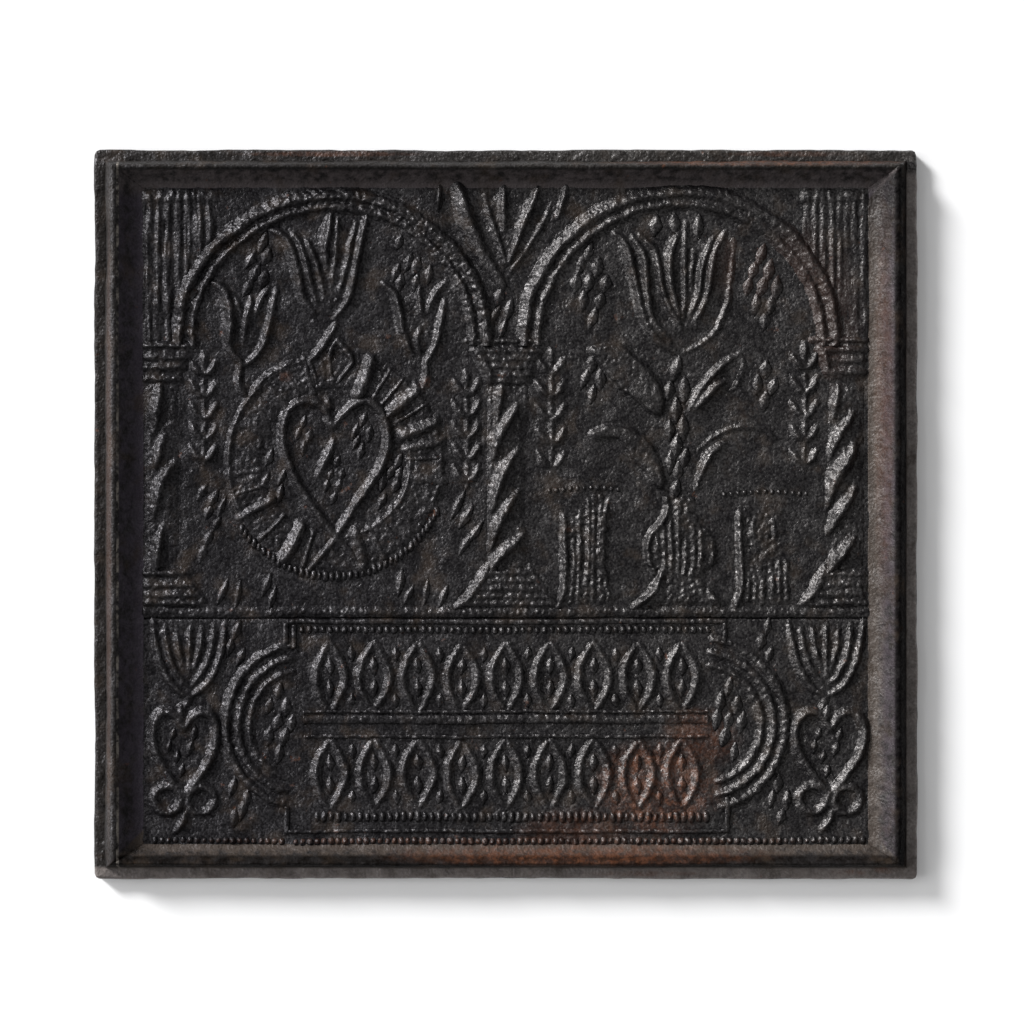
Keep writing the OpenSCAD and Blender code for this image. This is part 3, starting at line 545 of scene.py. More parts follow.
class Carving:
    """A board round origin, the motif's own middle. Points are given from there, in mm."""

    def __init__(self, origin, x0, x1, z0, z1):
        self.origin = np.array(origin, float)
        self.x = np.arange(x0, x1 + PITCH_MM, PITCH_MM) + origin[0]
        self.z = np.arange(z0, z1 + PITCH_MM, PITCH_MM) + origin[1]
        self.X, self.Z = np.meshgrid(self.x, self.z, indexing="ij")
        dx, dz = hand(self.X, self.Z)
        self.U, self.V = self.X + dx, self.Z + dz
        self.chip = uneven(self.X, self.Z, CHIPPED)
        self.slabs = np.full(self.X.shape, SUNK)
        self.lines = self.slabs.copy()

    def window(self, points, reach):
        """The part of the board within reach of the points."""
        low, high = points.min(0) - reach, points.max(0) + reach
        return (slice(*np.searchsorted(self.x, [low[0], high[0]])),
                slice(*np.searchsorted(self.z, [low[1], high[1]])))

    def inside(self, line, width, tip):
        """Depth inside a stroke (mm), its share from rim to crest, and the width's share."""
        n = len(line)
        w = width * (tip + (1 - tip) * np.sin(np.pi * np.arange(n) / (n - 1)) ** TAPER)
        win = self.window(line, width + 3)
        U, V = self.U[win], self.V[win]
        best = np.full(U.shape, -FAR)
        size, off_x, off_z = np.full(U.shape, 0.1), np.zeros(U.shape), np.zeros(U.shape)
        for a, b, wa, wb in zip(line, line[1:], w, w[1:]):
            t, dx, dz = nearest_on(U, V, a, b)
            here = wa + (wb - wa) * t
            depth = here - np.hypot(dx, dz) + self.chip[win]
            closer = depth > best
            best[closer], size[closer] = depth[closer], here[closer]
            off_x[closer], off_z[closer] = dx[closer], dz[closer]
        share = best / size
        side = np.clip(TURN_SHARP * (off_x * LOW_RIGHT[0] + off_z * LOW_RIGHT[1])
                       / np.maximum(np.hypot(off_x, off_z), 1e-6), -1, 1)
        leaning = np.minimum((1 + side * (1 - share)) / (1 + CREST_SHIFT),
                             share / (1 - CREST_SHIFT))
        return win, best, np.clip(leaning, 0, 1), size / width

    def curve(self, points, steps):
        """The points on the board, with a smooth line through them where steps isn't 0."""
        return (smooth(points, steps) if steps else np.array(points, float)) + self.origin

    def ridge(self, points, width, rise, tip, steps=6):
        """A stroke of half width and rise, tapering to tip at its ends, on top of any slab."""
        win, depth, share, size = self.inside(self.curve(points, steps), width * WIDER, tip)
        top = rise * HIGHER * size ** TAPER * soft_top(share)
        self.lines[win] = np.maximum(self.lines[win],
                                     np.where(depth > 0, top, SIDE_SLOPE * depth))

    def strokes(self, rows):
        """Ridges in a row: half width, rise, tip and points of each."""
        for width, rise, tip, points in rows:
            self.ridge(points, width, rise, tip)

    def cut(self, points, width, deep, tip, steps=6):
        """A groove of half width and depth in the strokes that are there already."""
        win, depth, share, size = self.inside(self.curve(points, steps), width, tip)
        old = self.lines[win]
        self.lines[win] = np.where((depth > 0) & (old > 0),
                                   np.maximum(old - deep * round_top(share), 0.1), old)

    def slab(self, outline, rise, soft, crown=0.0):
        """A raised shape with softly rounded edges; crown adds height far from the edge."""
        line = np.array(outline, float) + self.origin
        win = self.window(line, 4)
        U, V = self.U[win], self.V[win]
        away = np.full(U.shape, FAR)
        odd = np.zeros(U.shape, bool)
        for a, b in zip(line, np.roll(line, -1, 0)):
            t, dx, dz = nearest_on(U, V, a, b)
            away = np.minimum(away, np.hypot(dx, dz))
            if abs(b[1] - a[1]) > 1e-9:
                odd ^= (((a[1] > V) != (b[1] > V))
                        & (U < a[0] + (V - a[1]) * (b[0] - a[0]) / (b[1] - a[1])))
        depth = np.where(odd, away, -away) + self.chip[win]
        top = rise * round_top(depth / soft) + crown * np.clip(depth / 12, 0, 1) ** TAPER
        self.slabs[win] = np.maximum(self.slabs[win],
                                     np.where(depth > 0, top, SIDE_SLOPE * depth))

    def piece(self, name, slot, rough, drag=1.0):
        """Closes what stands over the face into a mesh. A low drag draws its roughness out."""
        low, high = np.minimum(self.slabs, self.lines), np.maximum(self.slabs, self.lines)
        h = soften(np.maximum(high + np.maximum(low, 0), 0), SOFT_MM, PITCH_MM) - FOOT_MM
        marks = rough * uneven(self.X, self.Z * drag, TOOL_MARKS)
        h = h + np.where(h > 0, marks * np.clip(h, 0, 1), 0)
        cell = np.maximum.reduce([h[:-1, :-1], h[1:, :-1], h[:-1, 1:], h[1:, 1:]]) > STANDING
        front = face_y - skin(self.X, self.Z) - np.maximum(h, SUNK)
        close(name, self.X, self.Z, front, without_pinches(cell), slot)


# %% [markdown]
# A height map has no back, so the part of it that stands over the face gets one, buried in the
# plate, with walls between the two. Two cells that meet at one corner only would give an edge
# with four faces, so a neighbour is filled in wherever that happens.

# %% Closing a height map
def without_pinches(cell):
    """The cells, with neighbours filled in where two meet at one corner only."""
    while True:
        a, b = cell[:-1, :-1] & cell[1:, 1:], cell[1:, :-1] & cell[:-1, 1:]
        lone1 = a & ~cell[1:, :-1] & ~cell[:-1, 1:]
        lone2 = b & ~cell[:-1, :-1] & ~cell[1:, 1:]
        if not (lone1.any() or lone2.any()):
            return cell
        cell[1:, :-1] |= lone1
        cell[:-1, :-1] |= lone2


def close(name, X, Z, front, cell, slot):
    """A closed piece from the cells of a height map, with its back BURIED in the plate."""
    rows, cols = cell.shape
    used = np.zeros(X.shape, bool)
    for di in (0, 1):
        for dj in (0, 1):
            used[di:rows + di, dj:cols + dj] |= cell
    count = used.sum()
    number = -np.ones(X.shape, int)
    number[used] = np.arange(count)
    deep = face_y + BURIED
    top = np.stack([X[used], np.minimum(front[used], deep - 0.4), Z[used]], 1)
    low = np.stack([X[used], np.full(count, deep), Z[used]], 1)
    i, j = np.nonzero(cell)
    ring = [number[i, j], number[i + 1, j], number[i + 1, j + 1], number[i, j + 1]]
    quads = [np.stack(ring, 1), np.stack(ring[::-1], 1) + count]
    pad = np.pad(cell, 1)
    for a, b, di, dj in ((0, 1, 0, -1), (1, 2, 1, 0), (2, 3, 0, 1), (3, 0, -1, 0)):
        edge = ~pad[i + 1 + di, j + 1 + dj]
        p, q = ring[a][edge], ring[b][edge]
        quads.append(np.stack([q, p, p + count, q + count], 1))
    mesh_piece(name, np.vstack([top, low]), np.vstack(quads).tolist(), slot, [name])


# %% [markdown]
# ## Geometry Nodes for what repeats or follows a line
#
# Beads, lozenges and rolls all follow a rule: the same small form, again and again, or one
# section along a line. Geometry Nodes say such a rule once, with named inputs, and every
# piece that obeys it calls the same tree with its own numbers. Three trees do it here. The
# result is turned into a plain mesh, and then the carver's hand and the casting's skin are
# added to it, as to every other piece.

# %% A helper that writes down a tree, and one that runs it
KINDS = {"float": "NodeSocketFloat", "int": "NodeSocketInt", "object": "NodeSocketObject",
         "material": "NodeSocketMaterial"}


class Rule(Writer):
    def __init__(self, name, **inputs):
        super().__init__(bpy.data.node_groups.new(name, "GeometryNodeTree"))
        shape = self.tree.interface
        shape.new_socket("Geometry", in_out="INPUT", socket_type="NodeSocketGeometry")
        self.ids = {label: shape.new_socket(label, in_out="INPUT",
                    socket_type=KINDS[kind]).identifier for label, kind in inputs.items()}
        shape.new_socket("Geometry", in_out="OUTPUT", socket_type="NodeSocketGeometry")
        self.given = self.put("NodeGroupInput").outputs

    def end(self, geometry):
        real = self.put("GeometryNodeRealizeInstances", {0: geometry}).outputs[0]
        done = self.put("GeometryNodeSetMaterial", {0: real,
                        "Material": self.given["Finish"]}).outputs[0]
        self.put("NodeGroupOutput", {0: done})


def live(sockets, label=""):
    """The socket in use, of a node that keeps one for each type of value."""
    return [s for s in sockets if s.enabled and s.name.startswith(label)][0]


def path(points):
    """An open line as an object, for a rule to work on."""
    mesh = bpy.data.meshes.new("path")
    mesh.from_pydata([(x / MM, 0, z / MM) for x, z in points],
                     [(i, i + 1) for i in range(len(points) - 1)], [])
    return add("path", mesh)


def apply_rule(rule, start, slot, **values):
    """Runs a rule on an object and gives back the plain mesh that it makes."""
    modifier = start.modifiers.new(rule.tree.name, "NODES")
    modifier.node_group = rule.tree
    modifier[rule.ids["Finish"]] = FINISHES[slot]
    for label, value in values.items():
        modifier[rule.ids[label]] = value
    graph = bpy.context.evaluated_depsgraph_get()
    mesh = bpy.data.meshes.new_from_object(start.evaluated_get(graph))
    bpy.data.objects.remove(start)
    return mesh


# %% A piece from plain meshes
SAND_MARKS = [(1.0, 3.1, 41), (0.6, 1.9, 42)]


def cast_piece(name, meshes, slot, rough, nodes=None, on=0.0):
    """Joins plain meshes into a piece, with the hand, the skin and the sand's roughness on it.
    on is how far the forms stand off the face."""
    points, faces, base = [], [], 0
    for mesh in meshes:
        co = np.zeros(len(mesh.vertices) * 3)
        mesh.vertices.foreach_get("co", co)
        points.append(co.reshape(-1, 3) * MM)
        faces += [[v + base for v in f.vertices] for f in mesh.polygons]
        base += len(mesh.vertices)
    p = np.vstack(points)
    dx, dz = hand(p[:, 0], p[:, 2])
    p[:, 0] -= dx
    p[:, 2] -= dz
    p[:, 1] += face_y - on - skin(p[:, 0], p[:, 2])
    p[:, 1] -= rough * uneven(p[:, 0], p[:, 2], SAND_MARKS)
    p[:, 1] = np.minimum(p[:, 1], face_y + BURIED)
    mesh_piece(name, p, faces, slot, nodes or [name])


# %% [markdown]
# A roll is a round section drawn along a line: a moulding plane does it in wood. The tree
# turns a path into a curve, spaces its points evenly, tapers it at its ends and sweeps a
# circle along it. Then it flattens the tube in depth, so width and rise are set apart. Half of
# the tube is buried in the plate, and its ends are capped, so it stays closed.

# %% The rule for a roll
roll_rule = Rule("roll_along_a_line", HalfWidth="float", Rise="float", Step="float",
                 Tip="float", Sides="int", Finish="material")


def write_roll(rule):
    """Path, even points, swept circle, and then the tube's depth scaled to its rise."""
    g = rule.given
    curve = rule.put("GeometryNodeMeshToCurve", {0: g["Geometry"]}).outputs[0]
    curve = rule.put("GeometryNodeResampleCurve", {"Curve": curve, "Length": g["Step"]},
                     mode="LENGTH").outputs[0]
    along = rule.put("GeometryNodeSplineParameter").outputs["Factor"]
    swell = rule.math("POWER", rule.math("SINE", rule.times(along, math.pi)), 0.5)
    share = rule.math("MULTIPLY_ADD", swell, rule.less(1.0, g["Tip"]), g["Tip"])
    ring = rule.put("GeometryNodeCurvePrimitiveCircle", {"Resolution": g["Sides"],
                    "Radius": 1.0}).outputs[0]
    tube = rule.put("GeometryNodeCurveToMesh", {
        "Curve": curve, "Profile Curve": ring, "Scale": rule.times(share, g["HalfWidth"]),
        "Fill Caps": True}).outputs[0]
    at = rule.put("ShaderNodeSeparateXYZ", {0: rule.put("GeometryNodeInputPosition").outputs[0]})
    flat = rule.times(at.outputs["Y"], rule.math("DIVIDE", g["Rise"], g["HalfWidth"]))
    to = rule.put("ShaderNodeCombineXYZ", {"X": at.outputs["X"], "Y": flat,
                  "Z": at.outputs["Z"]}).outputs[0]
    rule.end(rule.put("GeometryNodeSetPosition", {0: tube, "Position": to}).outputs[0])


write_roll(roll_rule)
ROLL_STEP_MM, ROLL_SIDES, ROLL_TIP = 1.2, 12, 0.9


def roll(points, half_width, rise, slot):
    return apply_rule(roll_rule, path(points), slot, HalfWidth=half_width / MM,
                      Rise=rise / MM, Step=ROLL_STEP_MM / MM, Tip=ROLL_TIP, Sides=ROLL_SIDES)


# %% [markdown]
# Beads were pressed or cut one after another along a scribed line. The tree spaces points on a
# path and sets a low blunt tooth on each, a little different in size and lean every time, from
# a fixed seed.

# %% The rule for a row of beads
BEAD_LEAN, BEAD_SMALL, BEAD_LARGE = 0.22, 0.78, 1.14
bead_rule = Rule("beads_along_a_line", Form="object", Pitch="float", HalfWidth="float",
                 HalfHeight="float", Rise="float", Seed="int", Finish="material")


def chance(rule, low, high, seed):
    """A random number for each point, from low to high."""
    node = rule.put("FunctionNodeRandomValue", {"Seed": seed}, data_type="FLOAT")
    live(node.inputs, "Min").default_value = low
    live(node.inputs, "Max").default_value = high
    return live(node.outputs)


def write_beads(rule):
    """Path, even points, and a tooth on each with a chance lean and size."""
    g = rule.given
    curve = rule.put("GeometryNodeMeshToCurve", {0: g["Geometry"]}).outputs[0]
    dots = rule.put("GeometryNodeResampleCurve", {"Curve": curve, "Length": g["Pitch"]},
                    mode="LENGTH").outputs[0]
    tooth = rule.put("GeometryNodeObjectInfo", {"Object": g["Form"]}).outputs["Geometry"]
    lean = chance(rule, -BEAD_LEAN, BEAD_LEAN, g["Seed"])
    turn = rule.put("ShaderNodeCombineXYZ", {"Y": lean}).outputs[0]
    grow = chance(rule, BEAD_SMALL, BEAD_LARGE, rule.math("ADD", g["Seed"], 1.0))
    scale = rule.put("ShaderNodeCombineXYZ", {
        "X": rule.times(g["HalfWidth"], grow), "Y": rule.times(g["Rise"], grow),
        "Z": rule.times(g["HalfHeight"], grow)}).outputs[0]
    rule.end(rule.put("GeometryNodeInstanceOnPoints", {
        "Points": dots, "Instance": tooth, "Rotation": turn, "Scale": scale}).outputs[0])


write_beads(bead_rule)


def beads(points, pitch, half_width, half_height, rise, slot, seed):
    return apply_rule(bead_rule, path(points), slot, Form=TOOTH, Pitch=pitch / MM,
                      HalfWidth=half_width / MM, HalfHeight=half_height / MM,
                      Rise=rise / MM, Seed=seed)


# %% [markdown]
# The lozenges are one small carved form, stamped in many places. The form is built once
# as rings of a few dozen faces, from a hipped top down to a foot that dips into the plate. The
# tree then stamps it on each point of a mesh, leaning and sized by that point's attributes.

# %% The stamped forms
LOZENGE_RINGS = ((1.0, -0.5), (1.0, 0.03), (0.68, 0.40), (0.34, 0.76))
TOOTH_RINGS = ((1.0, -0.5), (1.0, 0.05), (0.5, 0.60), (0.12, 0.97))


def superellipse(power, count):
    a = np.linspace(0, 2 * np.pi, count, endpoint=False)
    c, s = np.cos(a), np.sin(a)
    return np.stack([np.sign(c) * abs(c) ** power, np.sign(s) * abs(s) ** power], 1)


def stamp_form(name, line, rings):
    """A low form one unit high over an outline of unit size, closed by a point below.
    Each ring is a share of the outline and its height."""
    n = len(line)
    points = [[x * share, -y, z * share] for share, y in rings for x, z in line]
    points += [[0, -1, 0], [0, 0.5, 0]]
    tip, foot, last = len(points) - 2, len(points) - 1, (len(rings) - 1) * n
    faces = []
    for r in range(len(rings) - 1):
        for k in range(n):
            a, b = r * n + k, r * n + (k + 1) % n
            faces.append((a, b, b + n, a + n))
    for k in range(n):
        faces.append((last + k, last + (k + 1) % n, tip))
        faces.append(((k + 1) % n, k, foot))
    mesh = bpy.data.meshes.new(name)
    mesh.from_pydata(points, [], faces)
    form = add(name, mesh)
    form.hide_render = True
    print(name, len(faces), "faces")
    return form


LOZENGE = stamp_form("lozenge_form", superellipse(1.55, 16), LOZENGE_RINGS)
TOOTH = stamp_form("tooth_form", superellipse(0.8, 12), TOOTH_RINGS)

# %% The rule that stamps a form
stamp_rule = Rule("stamp_on_points", Form="object", Finish="material")


def write_stamp(rule):
    """A form on each point, turned and sized by the attributes lean and size."""
    g = rule.given
    form = rule.put("GeometryNodeObjectInfo", {"Object": g["Form"]}).outputs["Geometry"]
    lean = rule.put("GeometryNodeInputNamedAttribute", {"Name": "lean"}, data_type="FLOAT")
    size = rule.put("GeometryNodeInputNamedAttribute", {"Name": "size"},
                    data_type="FLOAT_VECTOR")
    turn = rule.put("ShaderNodeCombineXYZ", {"Y": live(lean.outputs)}).outputs[0]
    dots = rule.put("GeometryNodeMeshToPoints", {0: g["Geometry"]}).outputs[0]
    rule.end(rule.put("GeometryNodeInstanceOnPoints", {
        "Points": dots, "Instance": form, "Rotation": turn,
        "Scale": live(size.outputs)}).outputs[0])


write_stamp(stamp_rule)


def stamps(places, slot):
    """Lozenges at rows of x, z, lean in degrees, half width, half height and rise, in mm."""
    rows = np.array(places, float)
    mesh = bpy.data.meshes.new("stamp_places")
    mesh.from_pydata([(x / MM, 0, z / MM) for x, z in rows[:, :2]], [], [])
    lean = mesh.attributes.new("lean", "FLOAT", "POINT")
    lean.data.foreach_set("value", -np.radians(rows[:, 2]))
    size = mesh.attributes.new("size", "FLOAT_VECTOR", "POINT")
    size.data.foreach_set("vector", (rows[:, [3, 5, 4]] / MM).ravel())
    return apply_rule(stamp_rule, add("stamp_places", mesh), slot, Form=LOZENGE)

# %% [markdown]
# ## The plate behind everything
#
# The casting's body is a flat plate about ten millimetres thick with a thin flange outside the
# rim. It was poured in open sand: the edge wanders, the corners are blunt and the back, which
# lay open to the air, has slow ripples and pits. The plate is one closed grid, finer at the
# flange, and its front is sunk a little where the two boards lie on it, so that the seam
# between them reads as a real groove.

# %% A closed grid with its own front and back
def spaced(a, b, fine, margin, coarse):
    """Values from a to b, fine within margin of the ends and coarse between them."""
    ends = np.arange(0, margin + fine / 2, fine)
    count = max(2, int(round((b - a - 2 * ends[-1]) / coarse)))
    middle = np.linspace(a + ends[-1], b - ends[-1], count + 1)[1:-1]
    return np.concatenate([a + ends, middle, b - ends[::-1]])


def grid_faces(n):
    """The faces between the rows and columns of an array of vertex numbers."""
    return np.stack([n[:-1, :-1], n[1:, :-1], n[1:, 1:], n[:-1, 1:]], -1).reshape(-1, 4)


def closed_grid(name, X, Z, front, back, node, ratio=1):
    """Front and back faces over a grid. The back has one face for ratio x ratio front ones."""
    f = np.arange(X.size).reshape(X.shape)
    bx, bz = X[::ratio, ::ratio], Z[::ratio, ::ratio]
    b = f.size + np.arange(bx.size).reshape(bx.shape)
    points = np.vstack([np.stack([X.ravel(), front.ravel(), Z.ravel()], 1),
                        np.stack([bx.ravel(), back[::ratio, ::ratio].ravel(), bz.ravel()], 1)])
    walls = []
    for fe, be in ((f[:, 0], b[:, 0]), (f[-1], b[-1]),
                   (f[::-1, -1], b[::-1, -1]), (f[0, ::-1], b[0, ::-1])):
        for k in range(len(be) - 1):
            walls.append(list(fe[k * ratio:(k + 1) * ratio + 1][::-1]) + [be[k], be[k + 1]])
    faces = np.vstack([grid_faces(f), grid_faces(b)[:, ::-1]]).tolist() + walls
    mesh_piece(name, points, faces, "cast_plate", [node])


# %% [markdown]
# The flange is the part of the plate that shows. Its edge wanders in by up to a millimetre or
# so, each side with its own seeds, and a coarse crust lies on it at the left and along the top.

# %% The plate with its flange
# Widths and heights in mm. A ripple is given as its length and its seed.
FLANGE_PITCH, FLANGE_WIDE, MIDDLE_PITCH = 1.3, 13.0, 3.4
CORNER_MM, BLUNT_MM, BLUNT_WIDE = 5.5, 1.7, 2.4
UNDER_BOARDS, UNDER_FROM, UNDER_OVER = 2.3, 14.0, 8.0
EDGE_IN, EDGE_WIDE = 0.55, 10.0
CRUST_WIDE, CRUST_LEFT_SHIFT, CRUST_FADE, LOWEST = 14.0, 3.0, 0.3, -0.9
OUTER_EDGES = [(0.55, 34.0), (0.35, 9.0)]
CRUST = [(0.55, 5.2, 64), (0.45, 2.7, 65)]
RIPPLE_LONG, RIPPLE_SHORT, LONG_MM, SHORT_MM = (46.0, 61), (15.0, 62), 0.27, 0.18
PITS, PIT_MM, PIT_FROM = (7.5, 63), 1.6, 0.55


def rounded(X, Z, radius):
    """Pulls the points in a rectangle's corners in to a radius."""
    hx, hz = (plate_right - plate_left) / 2, plate_top / 2
    u, v = X - (plate_left + plate_right) / 2, Z - hz
    over_x = np.maximum(np.abs(u) - (hx - radius), 0)
    over_z = np.maximum(np.abs(v) - (hz - radius), 0)
    away = np.hypot(over_x, over_z)
    pull = np.where(away > radius, radius / np.maximum(away, 1e-9), 1.0)
    return (X - np.sign(u) * over_x * (1 - pull), Z - np.sign(v) * over_z * (1 - pull))


def edge_shift(to_edge, along, seed):
    """How far the plate's edge has come in, fading out over EDGE_WIDE."""
    layers = [(high, length, seed + k) for k, (high, length) in enumerate(OUTER_EDGES)]
    wander = EDGE_IN + uneven(along, 0 * along, layers)
    return np.clip(1 - to_edge / EDGE_WIDE, 0, 1) * wander


def make_plate():
    X, Z = np.meshgrid(spaced(plate_left, plate_right, FLANGE_PITCH, FLANGE_WIDE, MIDDLE_PITCH),
                       spaced(0.0, plate_top, FLANGE_PITCH, FLANGE_WIDE, MIDDLE_PITCH),
                       indexing="ij")
    to_left, to_right, to_foot, to_head = X - plate_left, plate_right - X, Z, plate_top - Z
    X, Z = rounded(X, Z, CORNER_MM)
    X += edge_shift(to_left, Z, 51) - edge_shift(to_right, Z, 53)
    Z += edge_shift(to_foot, X, 55) - edge_shift(to_head, X, 57)
    X, Z = np.clip(X, plate_left, plate_right), np.clip(Z, 0.0, plate_top)
    edge = np.minimum.reduce([to_left, to_right, to_foot, to_head])
    blunt = BLUNT_MM * np.clip(1 - edge / BLUNT_WIDE, 0, 1) ** 2
    sunk = UNDER_BOARDS * np.clip((edge - UNDER_FROM) / UNDER_OVER, 0, 1)
    near = np.minimum(to_left + CRUST_LEFT_SHIFT, to_head) / CRUST_WIDE
    crust = np.clip(1 - near, 0, 1) ** CRUST_FADE * uneven(X, Z, CRUST)
    front = face_y - np.maximum(skin(X, Z) + crust, LOWEST) + sunk + blunt
    ripple = (LONG_MM * (1 + waves(X, Z, *RIPPLE_LONG))
              + SHORT_MM * (1 + waves(X * 0.6, Z, *RIPPLE_SHORT)))
    pits = PIT_MM * np.clip(waves(X, Z, *PITS) - PIT_FROM, 0, 1)
    closed_grid("back_plate", X, Z, front, back_y - ripple - pits - blunt, "back_plate")


make_plate()

# %% [markdown]
# ## The two boards of the field
#
# The pattern's panel was made of two boards, and the gap between them came out as a level
# groove right across. Both boards are fine grids, thick enough to hide the plate under them.
# Their edges at the seam are rubbed round. No piece may go past 200,000 triangles, so each
# board has the finest grid that keeps under that.

# %% The upper and the lower board
BACK_RATIO = 4
UNDER_RIM, RUBBED_MM, RUBBED_WIDE = 2.5, 1.5, 2.4
GRIT, SEAM_WANDER = [(0.24, 3.6, 71)], [(0.5, 21.0, 72)]


def make_board(name, z0, z1, pitch, seam):
    nx = BACK_RATIO * math.ceil((panel_right - panel_left + 2 * UNDER_RIM) / pitch / BACK_RATIO)
    nz = BACK_RATIO * math.ceil((z1 - z0) / pitch / BACK_RATIO)
    X, Z = np.meshgrid(np.linspace(panel_left - UNDER_RIM, panel_right + UNDER_RIM, nx + 1),
                       np.linspace(z0, z1, nz + 1), indexing="ij")
    rubbed_and_highlight = RUBBED_MM * np.clip(1 - np.abs(Z - seam) / RUBBED_WIDE, 0, 1) ** 1.6
    front = face_y - skin(X, Z) - uneven(X, Z, GRIT) + rubbed_and_highlight
    back = np.full_like(front, face_y + BURIED)
    Z = Z + np.where(np.abs(Z - seam) < 1e-6, uneven(X, 0 * X, SEAM_WANDER), 0)
    closed_grid(name, X, Z, front, back, "back_plate", BACK_RATIO)


make_board("field_upper", seam_high, panel_top + 2.0, 1.66, seam_high)
make_board("field_lower", panel_bottom - 2.0, seam_low, 1.34, seam_low)

# %% [markdown]
# ## The moulded rim
#
# The pattern's rim was a planed moulding mitred at the corners: a steep outer face, a narrow
# round crest and a long hollow slope down to the panel. One section is drawn across and lofted
# between the outer foot and the inner toe, which meet at 45 degrees or so at the mitres. A
# curve with a bevel object would twist at such corners, so the loft is made directly.

# %% The rim's section, lofted along four sides
SECTION = smooth([(0, 0), (0.045, 0.36), (0.12, 0.74), (0.19, 0.94), (0.255, 1.0),
                  (0.33, 0.945), (0.44, 0.74), (0.58, 0.46), (0.71, 0.24), (0.83, 0.10),
                  (0.93, 0.03), (1.0, 0.0)], 4)
RIM_PITCH, CREST_WORN = 1.15, 0.45
RIM_WEAR = [(0.35, 23.0, 81), (0.2, 7.0, 82)]
RIM_ROUGH = [(0.45, 8.5, 85), (0.34, 4.2, 83), (0.16, 2.2, 84)]
CREST_SMOOTH, ROUGH_UP, LOWEST_CREST = 0.75, 4.0, 0.05
SLOPE_FREE, FOOT_FREE = 0.7, 1.5


def rim_side(name, outer, inner):
    """A side of the rim between the ends of its outer foot and those of its inner toe."""
    (p0, p1), (q0, q1) = np.array(outer, float), np.array(inner, float)
    count = int(np.hypot(*(p1 - p0)) / RIM_PITCH)
    a = np.linspace(0, 1, count + 1)[:, None, None]
    s = SECTION[:, 0][None, :, None]
    place = (p0 + (p1 - p0) * a) * (1 - s) + (q0 + (q1 - q0) * a) * s
    X, Z = place[..., 0], place[..., 1]
    across, up = SECTION[:, 0][None, :], SECTION[:, 1][None, :] * np.ones_like(X)
    worn = CREST_WORN + uneven(X, Z, RIM_WEAR)
    high = (up * (face_y - crest_y - worn) + skin(X, Z) * (1 - CREST_SMOOTH * up)
            + uneven(X, Z, RIM_ROUGH) * np.minimum(1, ROUGH_UP * up))
    y = np.maximum(face_y - high, crest_y + LOWEST_CREST)
    dx, dz = hand(X, Z)
    free = np.maximum(SLOPE_FREE * np.sin(np.pi * across), FOOT_FREE * (1 - 3 * across))
    loops = np.stack([X + dx * free, y, Z + dz * free], -1)
    first, last = loops[:, :1].copy(), loops[:, -1:].copy()
    first[..., 1], last[..., 1] = face_y + BURIED, face_y + BURIED
    loops = np.concatenate([first, loops, last], 1)
    n = np.arange(loops.shape[0] * loops.shape[1]).reshape(loops.shape[:2])
    around = np.concatenate([n, n[:, :1]], 1)
    faces = grid_faces(around)[:, [0, 3, 2, 1]].tolist() + [n[0][::-1].tolist(), n[-1].tolist()]
    mesh_piece(name, loops.reshape(-1, 3), faces, "rim_iron", [name])


def corners(left, right, foot, head):
    """A rectangle's corners from the lower left round to the upper left."""
    return [(left, foot), (right, foot), (right, head), (left, head)]


ring = corners(rim_left_x, rim_right_x, rim_foot_z, rim_head_z)
sill = corners(panel_left, panel_right, panel_bottom, panel_top)
for k, name in enumerate(["rim_bottom", "rim_right", "rim_top", "rim_left"]):
    rim_side(name, (ring[k], ring[(k + 1) % 4]), (sill[k], sill[(k + 1) % 4]))

# %% [markdown]
# ## The architecture of the upper board
#
# Two arches stand on three columns, and a thin ledge runs under them along the seam. The
# arches are pairs of worn rolls, the outer one broader. They follow an ellipse. The rule for a
# roll would make them too clean, so they are strokes on the carving board like the rest.

# %% Arches
ARCH_LEFT = [(131.5, 124.0, 5.6, 5.0), (120.0, 114.5, 3.9, 4.2)]
ARCH_RIGHT = [(132.5, 127.0, 5.8, 4.6), (121.5, 117.5, 4.4, 3.8)]
KNOCKS, KNOCKS_PER = [(0.9, 15.0, 91)], 130.0


def make_arch(name, middle, rolls, rough):
    """Each roll: the ellipse's half axes, half width and rise."""
    reach = rolls[0][0] + 10
    c = Carving(middle, -reach, reach, -4, reach)
    for rx, rz, half, rise in rolls:
        line = arc(0, 0, rx, rz, -1.0, 181.0, 90)
        knocks = uneven(line[:, 0], line[:, 1], KNOCKS)[:, None] / KNOCKS_PER
        c.ridge(line * (1 + knocks), half, rise, 0.9, steps=0)
    c.piece(name, "order_iron", rough)


make_arch("arch_left", LEFT, ARCH_LEFT, 1.1)
make_arch("arch_right", RIGHT, ARCH_RIGHT, 0.6)

# %% [markdown]
# The shafts are low boards with broad bands that climb to the right round them, like a twisted
# rope. Each band starts upright at the shaft's left edge, swells and then leans away to the
# right. Wear has left no two alike, so every band is a stroke of its own in the height map.
# From here on, a stroke is written as its half width, its rise, the share of both that is left
# at its ends, and a few points.

# %% Shafts
SHAFT_SLAB = (1.1, 5.0, 0.6)


def make_column(name, origin, x0, x1, bands):
    low, high = (z - origin[1] for z in span(name, 2))
    c = Carving(origin, x0 - 4, x1 + 4, low - 3, high + 3)
    c.slab(corners(x0, x1, low, high), *SHAFT_SLAB)
    c.strokes(bands)
    c.piece(name, "order_iron", rough=0.6)


